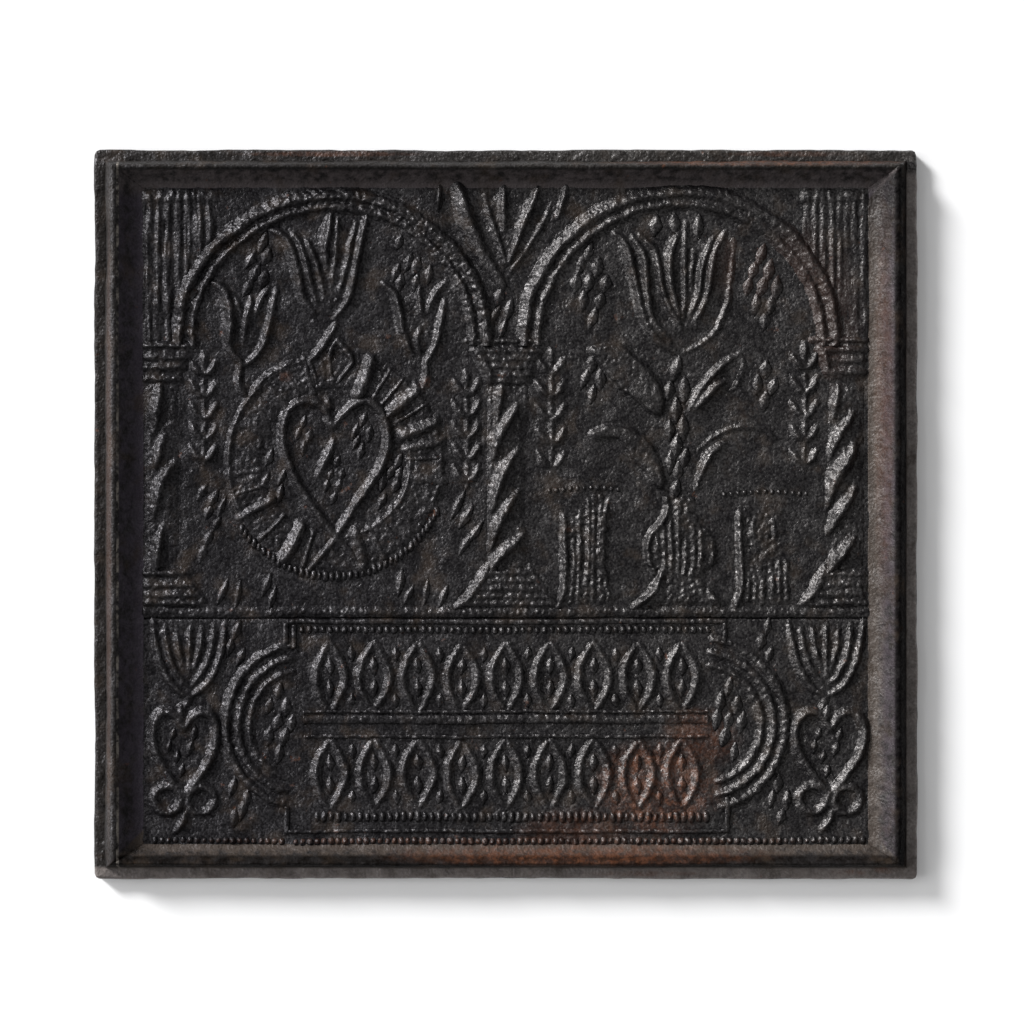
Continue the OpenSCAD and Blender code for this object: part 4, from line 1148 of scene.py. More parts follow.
make_column("column_left", LEFT, panel_left + 1 + bay_x, panel_left + 29 + bay_x, [
    (5.6, 4.8, 0.12, [(-145, -34), (-147.5, -47.5), (-149.5, -61), (-151, -78.5)]),
    (5.0, 4.6, 0.12, [(-140.5, -76.5), (-146, -88.5), (-148.5, -99), (-150, -109)]),
    (5.6, 4.8, 0.12, [(-130.5, -100.5), (-140, -110.5), (-146.5, -122.5), (-150, -136.5),
                      (-152.5, -151.5)]),
    (5.2, 4.8, 0.12, [(-143.5, -155), (-147.5, -170.5), (-149.5, -186), (-150, -203)])])
make_column("column_centre", MID, -15.5, 16.5, [
    (3.6, 4.0, 0.12, [(-4, -32), (-5, -46), (-6.5, -59.5), (-9, -75)]),
    (5.6, 5.4, 0.12, [(12, -51), (5.5, -61), (-2.5, -72.5), (-7.5, -86), (-11, -102)]),
    (5.4, 5.2, 0.12, [(12, -90), (2.5, -103), (-4, -116), (-8.5, -129.5), (-12, -146.5)]),
    (5.2, 5.2, 0.12, [(12, -124.5), (4.5, -135.5), (-3, -147.5), (-8.5, -160), (-14.5, -179)]),
    (5.2, 5.2, 0.12, [(17, -161), (7, -170.5), (-3, -179), (-10, -188.5), (-15, -203)]),
    (1.4, 1.8, 0.5, [(16.5, -37.5), (16.5, -66.5)])])
make_column("column_right", RIGHT, panel_right - 33 - bay_x, panel_right - 4 - bay_x, [
    (3.2, 3.8, 0.12, [(135, -35.5), (133, -49.5), (130.5, -66.5)]),
    (4.4, 4.6, 0.12, [(149.5, -56), (142.5, -69), (135, -79), (129.5, -91), (127, -102)]),
    (7.2, 6.0, 0.12, [(149.5, -86), (143.5, -99), (135.5, -110.5), (129, -123.5), (124.5, -143)]),
    (5.6, 5.2, 0.12, [(149.5, -122.5), (141.5, -136.5), (133, -149), (124.5, -165.5)]),
    (5.6, 5.4, 0.12, [(148.5, -165.5), (140, -178), (130.5, -188.5), (122, -201)])])

# %% [markdown]
# Capitals and bases are stacks of level mouldings, each a little wider than the last. They are
# worn nearly flat on the real plate, so each is a height map: a low slab with a few ridges,
# and a bolder ridge down each flared end.

# %% Capitals and bases
COURSE_SLAB, COURSE_TIP = (1.3, 4.0, 0.3), 0.75


def make_courses(name, middle, board, body, courses, ends=()):
    """Each course: its height, half width, left and right end, and rise."""
    c = Carving(middle, *board)
    c.slab(body, *COURSE_SLAB)
    for z, half, left, right, rise in courses:
        c.ridge([(left, z), ((left + right) / 2, z + 0.3), (right, z)], half, rise, COURSE_TIP,
                steps=4)
    c.strokes(ends)
    c.piece(name, "order_iron", rough=0.75)


make_courses("capital_left", (panel_left, spring_z), (-1, 46, -40, 4),
             [(0, -1), (42, -1), (36, -20), (31, -34), (0, -34)],
             [(-3, 3.4, 1, 42, 3.4), (-13, 4.2, 1, 38, 3.0), (-22, 3.8, 1, 35, 2.8),
              (-32, 3.0, 1, 31, 2.6)])
make_courses("capital_centre", MID, (-38, 40, -40, 5),
             [(-31, -2), (35, -2), (25, -18), (20, -35), (-15, -35), (-23, -18)],
             [(0.5, 2.4, -33, 35, 3.6), (-7.5, 3.0, -28, 30, 2.6), (-14, 2.8, -24, 27, 2.4),
              (-21, 2.8, -21, 24, 2.4), (-28, 2.8, -18, 21, 2.4), (-34, 2.6, -15, 19, 2.4)],
             [(4.6, 4.0, 0.4, [(-27, -6), (-21, -15), (-16, -25), (-13.5, -36)])])
make_courses("capital_right", (panel_right, spring_z), (-52, 1, -40, 6),
             [(-45, -2), (-2, -2), (-2, -34), (-33, -34), (-38, -20)],
             [(1, 2.4, -48, -2, 4.4), (-7, 3.4, -43, -2, 2.8), (-16, 3.4, -40, -2, 2.6),
              (-26, 3.2, -36, -2, 2.6)],
             [(4.4, 3.6, 0.4, [(-42, -6), (-37, -15), (-35, -28)])])
make_courses("base_left", (panel_left, string_top), (-1, 56, -2, 36),
             [(0, 0), (50, 0), (44, 14), (37, 32), (0, 32)],
             [(3.0, 2.6, 1, 48, 2.6), (10, 3.4, 1, 45, 2.8), (18, 2.8, 1, 41, 2.4),
              (29, 3.6, 1, 38, 3.8)],
             [(2.2, 2.4, 0.4, [(40, 22), (46, 12), (52, 4)])])
make_courses("base_centre", (0, string_top), (-50, 52, -2, 38),
             [(-38, 0), (46, 0), (32, 12), (22, 34), (-15, 34), (-26, 14)],
             [(2.4, 2.2, -40, 46, 2.0), (9, 2.4, -36, 39, 2.2), (15.5, 2.4, -30, 33, 2.2),
              (22, 2.4, -25, 27, 2.2), (29, 2.8, -20, 22, 2.6)],
             [(4.2, 4.4, 0.4, [(-15, 36), (-20, 26), (-27, 15), (-34, 6), (-42, 0)]),
              (2.4, 2.2, 0.4, [(20, 35), (29, 18), (38, 7), (47, 1)])])
make_courses("base_right", (panel_right, string_top), (-64, 1, -2, 38),
             [(-54, 0), (-2, 0), (-2, 34), (-36, 34), (-44, 14)],
             [(3.0, 2.6, -50, -2, 2.4), (11, 2.8, -44, -2, 2.4), (19, 2.6, -40, -2, 2.2),
              (28, 2.8, -37, -2, 2.6)],
             [(4.4, 4.4, 0.4, [(-36, 35), (-42, 22), (-48, 11), (-57, 2)])])

# %% [markdown]
# The ledge over the seam is a thin board whose lower edge is nicked all along. The nicks are a
# sine wave cut out of the height map, shifted a little by slow waves so they aren't even.

# %% String course
LEDGE_FOOT, LEDGE_HEAD, NICKED_Z = 1.6, 7.5, 2.2
NICK_PITCH, NICK_MM, NICK_WANDER = 5.6, 1.2, [(2.0, 40, 95)]


def make_string():
    c = Carving((0, seam_high), panel_left - 1.5, panel_right + 1.5, -1, 10)
    c.slab(corners(panel_left - 1, panel_right + 1, LEDGE_FOOT, LEDGE_HEAD), 1.5, 2.4)
    c.ridge([(panel_left, NICKED_Z), (0, NICKED_Z + 0.2), (panel_right, NICKED_Z)], 1.8, 1.7, 1.0,
            steps=2)
    nicks = 0.5 + 0.5 * np.sin(2 * np.pi * (c.X + uneven(c.X, c.Z, NICK_WANDER)) / NICK_PITCH)
    nicked = np.clip(1 - np.abs(c.Z - seam_high - NICKED_Z) / NICKED_Z, 0, 1)
    c.lines -= NICK_MM * nicks * nicked
    c.piece("string_course", "order_iron", rough=0.7)


make_string()

# %% [markdown]
# In the two upper corners, reeds stand side by side on the arch under a plain band. On the
# right they spread a little towards the top. Their foot follows the arch's ellipse, and a
# fixed seed makes them uneven in place, width and height, as a hand did.

# %% Reeded corners
REED_BAND, REED_TOP, SHORTEST = 13.0, -9.0, -19.0
OVER_ARCH, CLEAR_OF_ARCH = 5.0, 2.0
REED_SHIFT, REED_WIDTHS, REED_HEIGHTS = (-0.12, 0.12), (0.40, 0.56), (0.45, 1.0)


def make_reeds(name, side, count, gap, fan, middle, arch, high):
    """side is -1 at the left wall and 1 at the right one. fan is how far the reeds spread."""
    wall = panel_left if side < 0 else panel_right
    rx, rz = arch[0][0] + OVER_ARCH, arch[0][1] + OVER_ARCH
    reach = gap * count + 3
    x0, x1 = (-1, reach) if side < 0 else (-reach, 1)
    c = Carving((wall, panel_top), x0 - 2, x1 + 2, -140, 1)
    rng = np.random.default_rng(count)
    for i in range(count):
        x = -side * (3.5 + gap * (i + rng.uniform(*REED_SHIFT)))
        away = abs(wall + x - middle[0]) / rx
        foot = spring_z + rz * math.sqrt(max(0.0, 1 - away * away)) + CLEAR_OF_ARCH - panel_top
        if foot < SHORTEST:
            lean = fan * (i - count / 2)
            reed = [(x, foot), (x + lean * 0.4, (foot - REED_BAND) / 2), (x + lean, REED_TOP)]
            c.ridge(reed, gap * rng.uniform(*REED_WIDTHS), high * rng.uniform(*REED_HEIGHTS), 0.8)
    c.slab([(x0, -REED_BAND), (x1, -REED_BAND), (x1, -1), (x0, -1)], 0.7 * high, 5.0, 0.4)
    c.piece(name, "order_iron", rough=0.42 * high, drag=0.2)


make_reeds("reeds_left", -1, 7, 8.6, 0.0, LEFT, ARCH_LEFT, 2.7)
make_reeds("reeds_right", 1, 8, 6.9, 0.25, RIGHT, ARCH_RIGHT, 2.0)

# %% [markdown]
# ## Carving of the left arch
#
# A tulip hangs in the arch over a heart inside a wreath, with two smaller tulips beside it.
# These are free carving, so they are height maps: broad ridges side by side on a low slab, so
# that a flower reads as one swelling mass with furrows in it.

# %% Large tulip on the left
def make_tulip_left():
    c = Carving(LEFT, -60, 58, 4, 116)
    c.slab([(-45, 90.5), (-33.5, 99), (-23, 87), (-13, 94), (-4.5, 107.5), (6, 102.5), (16, 90.5),
            (26.5, 106), (30, 90.5), (23, 61.5), (14.5, 34.5), (-1, 19), (-16, 26), (-26.5, 39.5),
            (-35, 68.5)], 1.1, 9.0, 0.4)
    c.strokes([
        (4.4, 5.0, 0.45, [(-52, 95.5), (-41, 89), (-33.5, 73.5), (-29, 55.5), (-25.5, 37.5),
                          (-15.5, 23)]),
        (2.8, 4.2, 0.4, [(-34, 94), (-26.5, 81), (-21.5, 65), (-18, 48), (-13, 31)]),
        (2.3, 3.8, 0.4, [(-23, 89), (-16, 73.5), (-11, 56.5), (-6, 34.5)]),
        (4.0, 4.8, 0.35, [(-1, 111), (-3.5, 95.5), (-6, 80.5), (-4.5, 61.5)]),
        (2.2, 3.4, 0.35, [(5, 106), (3.5, 87), (2.5, 68.5), (0, 46)]),
        (2.4, 3.4, 0.4, [(20.5, 102.5), (15.5, 82), (12, 63.5), (6, 41)]),
        (4.0, 5.0, 0.4, [(30, 109.5), (25.5, 90.5), (21.5, 72), (18, 53), (13, 34.5), (1.5, 19)])])
    c.piece("tulip_left", "carved_iron", rough=0.4)


make_tulip_left()

# %% [markdown]
# The two smaller tulips lean away from the large one, each on a short bent stem. They are not
# mirror images, because a carver worked each by eye, so each has its own strokes.

# %% Two smaller tulips with their stems
def make_bud_outer():
    c = Carving(LEFT, -112, -44, -52, 50)
    c.slab([(-100, 43), (-89.5, 48), (-82.5, 36), (-71, 39.5), (-59, 43), (-52, 36), (-59, 3.5),
            (-72.5, -15), (-84.5, -8.5), (-94.5, 2)], 1.0, 8.0, 0.4)
    c.strokes([
        (5.0, 5.2, 0.5, [(-101.5, 51.5), (-91.5, 43), (-87, 27.5), (-87, 10.5), (-88, -5),
                         (-77.5, -18.5)]),
        (2.2, 3.2, 0.4, [(-84.5, 41), (-79.5, 31), (-77, 20.5)]),
        (2.8, 3.6, 0.35, [(-68, 39.5), (-71, 27.5), (-74, 14), (-76, -3)]),
        (2.6, 3.4, 0.4, [(-53.5, 46), (-60.5, 36), (-65, 22.5)]),
        (3.8, 4.8, 0.4, [(-47, 44.5), (-51, 29), (-54.5, 12), (-59, -3), (-67.5, -15),
                         (-76, -20.5)]),
        (3.0, 3.8, 0.5, [(-77.5, -18.5), (-79.5, -29), (-78.5, -39), (-71, -47.5)])])
    c.piece("bud_outer", "carved_iron", rough=0.4)


def make_bud_inner():
    c = Carving(LEFT, 34, 108, -50, 56)
    c.slab([(50.5, 43), (59, 34.5), (72.5, 44.5), (86, 37.5), (91.5, 31), (88, 0), (78.5, -15),
            (62.5, -5), (53.5, 20.5)], 1.0, 8.0, 0.4)
    c.strokes([
        (4.0, 5.0, 0.4, [(43.5, 49.5), (53, 41), (57, 24), (60.5, 5.5), (69, -12)]),
        (2.6, 3.6, 0.35, [(74, 49.5), (74, 36), (77, 20.5)]),
        (2.6, 3.6, 0.35, [(98, 51.5), (89.5, 43), (83.5, 32.5), (81, 24)]),
        (3.6, 4.8, 0.4, [(95.5, 34.5), (92, 17), (88.5, 0), (79.5, -18.5)]),
        (2.8, 3.6, 0.4, [(75, 12), (72.5, 2), (74, -10)]),
        (3.0, 3.8, 0.5, [(79.5, -15), (79.5, -29), (75, -44)])])
    c.piece("bud_inner", "carved_iron", rough=0.4)


make_bud_outer()
make_bud_inner()

# %% [markdown]
# A pointed ring links the tulip to the wreath. The wreath is a flat raised ring. Broad leaves
# cross it like the rays of a sun, one thin rib between each two, and a row of beads hangs
# under it. The heart inside is a bold round roll.

# %% Crown link
def make_crown():
    c = Carving(LEFT, -76, 42, -50, 24)
    c.strokes([
        (3.6, 4.4, 0.5, [(3.5, 15.5), (-3.5, 3.5), (-11, -7.5), (-20.5, -18.5)]),
        (2.5, 4.0, 0.5, [(3.5, 1), (-1.5, -6.5), (-2.5, -17), (1.5, -32)]),
        (3.2, 4.6, 0.5, [(4.5, 2), (11, -6.5), (17, -16), (12, -24.5), (4.5, -35.5)]),
        (2.4, 3.4, 0.5, [(-21.5, -17), (-16, -23.5), (-12, -37.5)]),
        (3.4, 4.0, 0.4, [(-31.5, -17), (-43.5, -23), (-55.5, -29.5), (-64, -39), (-71.5, -47.5)])])
    c.piece("crown_link", "carved_iron", rough=0.55)


make_crown()

# %% Wreath
WREATH = (-bay_x + 2.0, spring_z - 102.5)
WREATH_IN, WREATH_OUT = 62.5, 92.0
WREATH_WAVE, WREATH_LUMPS, WREATH_HIGH = [(1.6, 30.0, 101)], [(0.28, 6.5, 103)], 1.5

# Each edge: where it starts and ends in degrees, its radius, half width and rise.
WREATH_EDGES = [(104, 218, WREATH_OUT - 1.4, 1.8, 3.0), (-42, 68, WREATH_OUT - 1.2, 1.5, 1.8),
                (-82, 50, WREATH_IN + 1.2, 1.8, 3.0)]

# Each leaf or rib: its direction in degrees, half width and rise.
WREATH_RAYS = [(70.5, 7.4, 6.0), (59, 2.3, 4.2), (50.5, 2.2, 4.2), (41.5, 7.2, 5.8),
               (32.5, 2.4, 4.4), (22, 7.0, 5.4), (11, 5.2, 3.6), (2.5, 2.4, 3.6), (-10, 6.2, 2.6),
               (-24, 3.2, 2.2), (-39, 4.4, 2.8), (-52, 3.6, 2.4), (-63, 4.2, 2.6),
               (-75, 7.2, 4.0), (253, 2.8, 4.4), (242, 7.4, 6.0), (226, 2.4, 4.4),
               (210.5, 5.2, 4.4), (198, 3.2, 2.4), (186, 4.2, 2.2), (172, 3.2, 2.0),
               (158, 4.4, 2.4), (145, 3.2, 2.0), (131, 4.8, 2.8), (118, 3.2, 2.2), (107, 4, 2.2)]


def ray(angle, r0, r1):
    """A line of three points from r0 to r1 in a direction given in degrees."""
    d = np.array([math.cos(math.radians(angle)), math.sin(math.radians(angle))])
    return [d * r0, d * (r0 + r1) / 2, d * r1]


def wreath_board():
    reach = WREATH_OUT + 6
    return Carving(WREATH, -reach, reach, -reach, reach)


def make_wreath():
    c = wreath_board()
    r = np.hypot(c.U - WREATH[0], c.V - WREATH[1])
    wave = uneven(c.X, c.Z, WREATH_WAVE)
    inside = np.minimum(r - WREATH_IN - wave, WREATH_OUT + wave - r) + c.chip
    high = (WREATH_HIGH + uneven(c.X, c.Z, WREATH_LUMPS)) * round_top(inside / 3.0)
    c.slabs = np.where(inside > 0, high, np.maximum(SIDE_SLOPE * inside, SUNK))
    for start, end, radius, half, rise in WREATH_EDGES:
        c.ridge(arc(0, 0, radius, radius, start, end, 40), half, rise, 0.5, steps=0)
    c.piece("wreath_ring", "carved_iron", rough=0.6)
    c = wreath_board()
    for turn, half, rise in WREATH_RAYS:
        c.ridge(ray(turn, WREATH_IN, WREATH_OUT - 1.0), half, rise, 0.85, steps=5)
    c.piece("wreath_leaves", "carved_iron", rough=0.4)


make_wreath()

# %% Heart, and the beads under the wreath
BEADS_RADIUS = 97.0


def make_heart():
    c = Carving(LEFT, -56, 60, -206, -36)
    c.strokes([
        (4.0, 4.6, 0.75, [(0, -73), (-8.5, -56), (-23, -50), (-36.5, -58), (-42, -76.5), (-39, -97),
                          (-30, -119), (-14.5, -143), (4.5, -168.5)]),
        (4.0, 4.6, 0.75, [(0, -73), (13, -58), (28, -50), (42, -61), (47, -81), (42.5, -102),
                          (30, -124.5), (15.5, -145), (1.5, -167)]),
        (4.0, 4.0, 0.4, [(6, -162), (-7.5, -179), (-21.5, -194.5)]),
        (3.6, 3.6, 0.4, [(0, -162), (13, -177.5), (24.5, -189)]),
        (4.0, 3.6, 0.3, [(1.5, -83.5), (-5, -99), (-13, -116)]),
        (4.0, 3.2, 0.5, [(-4.5, -47.5), (-3.5, -59.5)])])
    c.piece("heart_large", "carved_iron", rough=0.4)


make_heart()
fringe = arc(*WREATH, BEADS_RADIUS, BEADS_RADIUS, 216, 334, 60)
cast_piece("wreath_beads", [beads(fringe, 5.2, 2.4, 4.4, 2.0, "carved_iron", 5)], "carved_iron",
           rough=0.16, on=0.5)

# %% [markdown]
# Lozenges fill the ground between the motifs. Every one was cut with the same few strokes of
# a chisel: a long hipped diamond, leaning a little. The same die stamps them all, each with
# its own lean and size. A group is written as its lean in degrees, the half width, half height
# and rise of its lozenges, its seed, and their places.

# %% Lozenges and streaks of the left bay
LEAN_SPREAD, SIZE_SPREAD = 9, (0.85, 1.15)
BROADER, LOWER = 1.12, 0.86


def lozenges(name, origin, groups, nodes=None):
    rows = []
    for lean, half_width, half_height, rise, seed, places in groups:
        rng = np.random.default_rng(seed)
        for x, z in places:
            k = rng.uniform(*SIZE_SPREAD, 3)
            rows.append((origin[0] + x, origin[1] + z,
                         lean + rng.uniform(-LEAN_SPREAD, LEAN_SPREAD),
                         BROADER * half_width * k[0], BROADER * half_height * k[1],
                         LOWER * rise * k[2]))
    cast_piece(name, [stamps(rows, "carved_iron")], "carved_iron", 0.4, nodes)


lozenges("lozenges_left", LEFT, [
    (-26, 4.8, 9.0, 2.9, 1, [(-59, 84.5), (-69, 70), (-55.5, 72), (-65.5, 57.5), (-71.5, 46),
                             (-58, 53)]),
    (-14, 4.4, 8.0, 2.7, 2, [(57, 84), (65, 66.5), (54.5, 58), (58, 50.5), (71.5, 63.5),
                             (82.5, 56.5), (71.5, 49.5)]),
    (-18, 3.5, 7.0, 2.6, 3, [(-24.5, -69), (-29, -79), (-19.5, -81), (-24, -91), (26.5, -66.5),
                             (19.5, -76.5), (31.5, -78.5), (20.5, -85), (24.5, -93)]),
    (-14, 3.2, 5.6, 2.6, 4, [(4.5, -102), (-1, -112.5), (8.5, -112.5), (-4.5, -122.5), (6, -122.5),
                             (1.5, -133)]),
    (-20, 3.8, 8.0, 3.0, 5, [(-53.5, -99), (-57, -118.5), (-42.5, -115), (-44.5, -129.5),
                             (55.5, -102), (49.5, -110.5), (42.5, -119), (53.5, -122.5),
                             (42, -135.5), (56.5, -112.5)]),
    (-26, 3.8, 9.0, 3.0, 6, [(-110, -128), (-101.5, -134.5), (-105, -145), (-94, -141.5),
                             (-98, -155), (-105, -167), (-110, -180.5)]),
    (-18, 3.6, 11.0, 3.2, 7, [(-93, -213), (-80, -215), (-55.5, -206.5), (-50.5, -217.5),
                              (58, -204.5), (65, -215), (79.5, -213), (94, -216.5)]),
    (-30, 4.0, 12.5, 3.4, 8, [(106.5, -139.5), (113.5, -150), (122, -162), (113.5, -172)])])

# %% [markdown]
# In each of the narrow fields beside the columns stands a sprig: an upright stem with pairs
# of small leaves. It is a plain filling ornament of the period, drawn by a loop that climbs
# the stem.

# %% Sprigs
STEM, LEAF = (1.9, 2.6, 0.5), (3.0, 3.3, 0.2)


def make_sprigs(name, origin, stems):
    """Each stem: its foot, its tip, how many pairs of leaves it has and how far they reach."""
    c = Carving(origin, -128, 132, -134, 12)
    for foot, tip, pairs, reach in stems:
        foot, tip = np.array(foot, float), np.array(tip, float)
        c.ridge([foot, (foot + tip) / 2 + (0.6, 0), tip], *STEM)
        for i in range(pairs):
            at = foot + (tip - foot) * (i + 0.32) / pairs
            for way in (-1, 1):
                c.ridge([at, at + (way * 0.55 * reach, 5.5), at + (way * 1.05 * reach, 15.0)],
                        *LEAF)
        c.ridge([tip - (0, 5), tip + (0, 3), tip + (0, 10)], 2.9, 3.3, 0.2)
    c.piece(name, "carved_iron", rough=0.55)


make_sprigs("spray_left", LEFT, [((-109, -108), (-109, -18), 5, 11),
                                 ((114, -126), (114, -34), 5, 11)])

# %% [markdown]
# ## Carving between the arches and inside the right one
#
# The tulip between the arches spreads like a fan, and four lozenges drip from it. The one in
# the right arch is the largest of all, with nine petals side by side, so its slab is low and
# its strokes are narrow.

# %% Tulip between the arches
def make_tulip_centre():
    c = Carving(MID, -58, 60, 38, 138)
    c.slab([(-46, 126.5), (-27, 124.5), (-20.5, 113), (-6.5, 126.5), (7, 114.5), (24, 124.5),
            (36, 118), (26, 87), (5.5, 60), (-5, 51.5), (-22, 63.5), (-35.5, 90.5)], 1.0, 9.0, 0.4)
    c.strokes([
        (7.6, 6.2, 0.5, [(-42.5, 135), (-37.5, 116), (-31.5, 97.5), (-21, 75), (-3, 48)]),
        (2.4, 3.4, 0.4, [(-18.5, 124.5), (-13.5, 106), (-6.5, 85.5), (0, 65)]),
        (3.8, 4.8, 0.35, [(-1.5, 133), (-2.5, 116), (-1.5, 94)]),
        (4.0, 4.8, 0.4, [(27.5, 131.5), (20, 113), (12, 92.5), (2, 65)]),
        (2.6, 3.2, 0.35, [(39.5, 118), (30, 99), (18, 78.5), (2, 55.5)]),
        (2.6, 4.0, 0.35, [(51.5, 135), (48, 119.5), (43.5, 104)]),
        (3.2, 4.4, 0.4, [(-56, 133), (-58.5, 118), (-62, 101)])])
    c.piece("tulip_centre", "carved_iron", rough=0.4)
    lozenges("tulip_centre_drops", MID, [
        (-24, 4.4, 9.6, 3.2, 9, [(-6, 38.5), (2, 26.5), (-10, 22.5), (-3, 10.5)])],
             ["tulip_centre"])


make_tulip_centre()

# %% Large tulip on the right
def make_tulip_right():
    c = Carving(RIGHT, -68, 62, -18, 114)
    c.slab([(-55.5, 85.5), (-42, 87), (-26.5, 85.5), (-18, 72), (-9.5, 90.5), (14.5, 90.5),
            (24.5, 85.5), (38.5, 89), (45, 82), (40, 44.5), (31.5, 19), (16, 0), (1, -6.5),
            (-16, 0), (-31.5, 14), (-43.5, 44.5)], 1.1, 9.0, 0.4)
    c.strokes([
        (3.8, 4.8, 0.4, [(-56.5, 92.5), (-46, 82), (-41, 63.5), (-36.5, 43), (-31.5, 22.5),
                         (-19.5, 2), (-1, -10)]),
        (3.6, 4.8, 0.4, [(-40, 89), (-31.5, 75), (-29, 56.5), (-27.5, 36), (-21.5, 15.5),
                         (-7.5, 0)]),
        (2.8, 4.8, 0.4, [(-35, 90.5), (-22, 78.5), (-18, 61.5), (-14.5, 43), (-7.5, 26),
                         (1.5, 12)]),
        (3.8, 4.6, 0.35, [(-1.5, 92.5), (-7.5, 75), (-8.5, 58), (-6, 39.5), (0, 20.5)]),
        (2.1, 3.8, 0.4, [(4.5, 102.5), (4.5, 75), (4.5, 48), (2.5, 19)]),
        (1.7, 2.8, 0.35, [(12, 80.5), (11, 61.5), (8.5, 36)]),
        (2.9, 4.6, 0.35, [(29, 89), (22, 73.5), (18, 56.5), (15.5, 39.5), (7.5, 22.5)]),
        (3.6, 5.0, 0.35, [(38.5, 94), (30, 77), (26.5, 58), (23, 39.5), (13.5, 17)]),
        (2.0, 3.0, 0.4, [(46, 87), (44.5, 63.5), (41, 36), (31.5, 10.5), (17, -3), (1.5, -11)])])
    c.piece("tulip_right", "carved_iron", rough=0.4)
    lozenges("tulip_right_drops", RIGHT, [
        (-4, 5.2, 10.6, 3.0, 10, [(-20.5, 98.5), (-4.5, 100), (15.5, 96.5)])],
             ["tulip_right"])


make_tulip_right()

# %% Lozenges and stalk of the right bay
lozenges("lozenges_right", RIGHT, [
    (-12, 4.9, 9.0, 3.0, 11, [(-77.5, 76), (-84.5, 64), (-70, 62.5), (-88.5, 49.5), (-77, 50.5),
                              (-63, 49), (-82, 35), (-68, 34.5), (-74, 20)]),
    (-14, 4.7, 8.8, 2.6, 12, [(69, 73.5), (62.5, 60.5), (76, 60), (58, 47), (70, 47), (82.5, 45.5),
                              (65, 32.5), (77.5, 31.5), (72.5, 18)]),
    (-10, 4.5, 9.0, 3.0, 13, [(-74, -18.5), (-80, -31.5), (-67.5, -32), (-74, -45)]),
    (-10, 4.5, 8.8, 2.8, 14, [(73.5, -23.5), (66.5, -36.5), (79.5, -38), (72.5, -51)])])
lozenges("stalk_right", RIGHT, [
    (-8, 5.2, 10.4, 3.9, 15, [(-2.5, -23.5), (-8.5, -41.5), (4.5, -41), (-2.5, -58), (-8.5, -75),
                              (3.5, -73), (-2.5, -88.5), (-7.5, -102), (4.5, -99), (-1.5, -110.5),
                              (-3.5, -126)])])

# %% [markdown]
# Long leaves arch out of the vase on both sides. On the left each is a blade: a full body
# between two edges with a fine raised line along both of them, so it is a slab with two
# ridges on it. On the right they have worn down to single strokes.

# %% Leaves over the vase
BLADE_SLAB, BLADE_EDGE = (4.4, 2.0), (1.8, 2.4, 0.4)


def blade(c, upper, lower):
    c.slab(smooth(upper + lower[::-1], 3), *BLADE_SLAB)
    c.ridge(upper, *BLADE_EDGE)
    c.ridge(lower, *BLADE_EDGE)


def make_vase_leaves():
    c = Carving(RIGHT, -100, 88, -134, 8)
    blade(c, [(-77.5, -6), (-65.5, -4), (-50.5, -4), (-31.5, -20.5), (-19.5, -34), (-13, -53.5)],
          [(-76, -8.5), (-65.5, -22), (-59, -29), (-47, -42.5), (-33.5, -52.5), (-19.5, -63)])
    blade(c, [(-77.5, -78.5), (-65.5, -73), (-52, -72.5), (-33.5, -80), (-19.5, -96), (-13, -121)],
          [(-74, -83.5), (-60.5, -81.5), (-50.5, -83.5), (-40, -99), (-30, -109), (-19.5, -124.5)])
    c.strokes([
        (3.2, 4.0, 0.3, [(8.5, -59.5), (19, -39), (38.5, -18.5), (52, -10)]),
        (1.7, 2.0, 0.3, [(48.5, -12), (54.5, -18.5), (49.5, -35.5), (40, -46)]),
        (4.2, 5.0, 0.3, [(12, -59.5), (20.5, -48.5), (30, -39), (40, -32)]),
        (1.8, 3.0, 0.3, [(14.5, -93), (30, -80), (50.5, -72.5), (71, -75), (82.5, -83.5)]),
        (3.8, 5.0, 0.3, [(13.5, -126), (20.5, -104.5), (28, -93), (38.5, -86)])])
    c.piece("vase_leaves", "carved_iron", rough=0.5)


make_vase_leaves()

# %% [markdown]
# The vase and its two pedestals are low slabs with upright flutes and a bold left edge. Wear
# has broken the flutes into short runs, so they are rough, and their height comes and goes.

# %% Vase and pedestals
FLUTE = (1.9, 3.2, 0.4)
BOARD_FOOT = -229


def flutes(c, lines):
    for line in lines:
        c.ridge(line, *FLUTE)


def make_vase():
    c = Carving(RIGHT, -54, 50, BOARD_FOOT, -132)
    right = smooth([(12, -132), (14, -146), (26, -160), (30, -173), (28, -188), (20, -199),
                    (24, -210), (34, -217), (43, -224)], 3)
    c.slab(np.vstack([right, right[::-1] * (-1, 1)]), 1.6, 5.0, 0.8)
    c.strokes([
        (2.6, 4.4, 0.7, [(-12, -129.5), (-11, -143), (-15.5, -153.5), (-24.5, -163.5), (-28, -174),
                         (-26.5, -185), (-21.5, -197)]),
        (3.4, 4.8, 0.6, [(-16, -196), (-20.5, -208), (-29, -218), (-40, -226.5)]),
        (2.4, 3.4, 0.5, [(24.5, -211.5), (30, -220), (33.5, -226.5)])])
    flutes(c, [[(-19.5, -158.5), (-19.5, -174), (-18, -186)],
               [(-13.5, -157), (-13.5, -177.5), (-13, -197.5)],
               [(-7.5, -146.5), (-7.5, -177.5), (-6, -208)],
               [(-1.5, -134.5), (-1, -173), (-1.5, -206.5)],
               [(5, -165.5), (4.5, -186), (2.5, -206.5)], [(12, -157), (12, -181.5), (9.5, -203)],
               [(18, -160), (18, -179), (16, -197.5)],
               [(28, -168.5), (28, -182.5), (24.5, -192.5)]])
    c.cut([(-19.5, -220), (-13, -209.5), (6, -209), (24.5, -209)], 1.8, 1.6, 0.6)
    c.piece("vase", "carved_iron", rough=0.9)


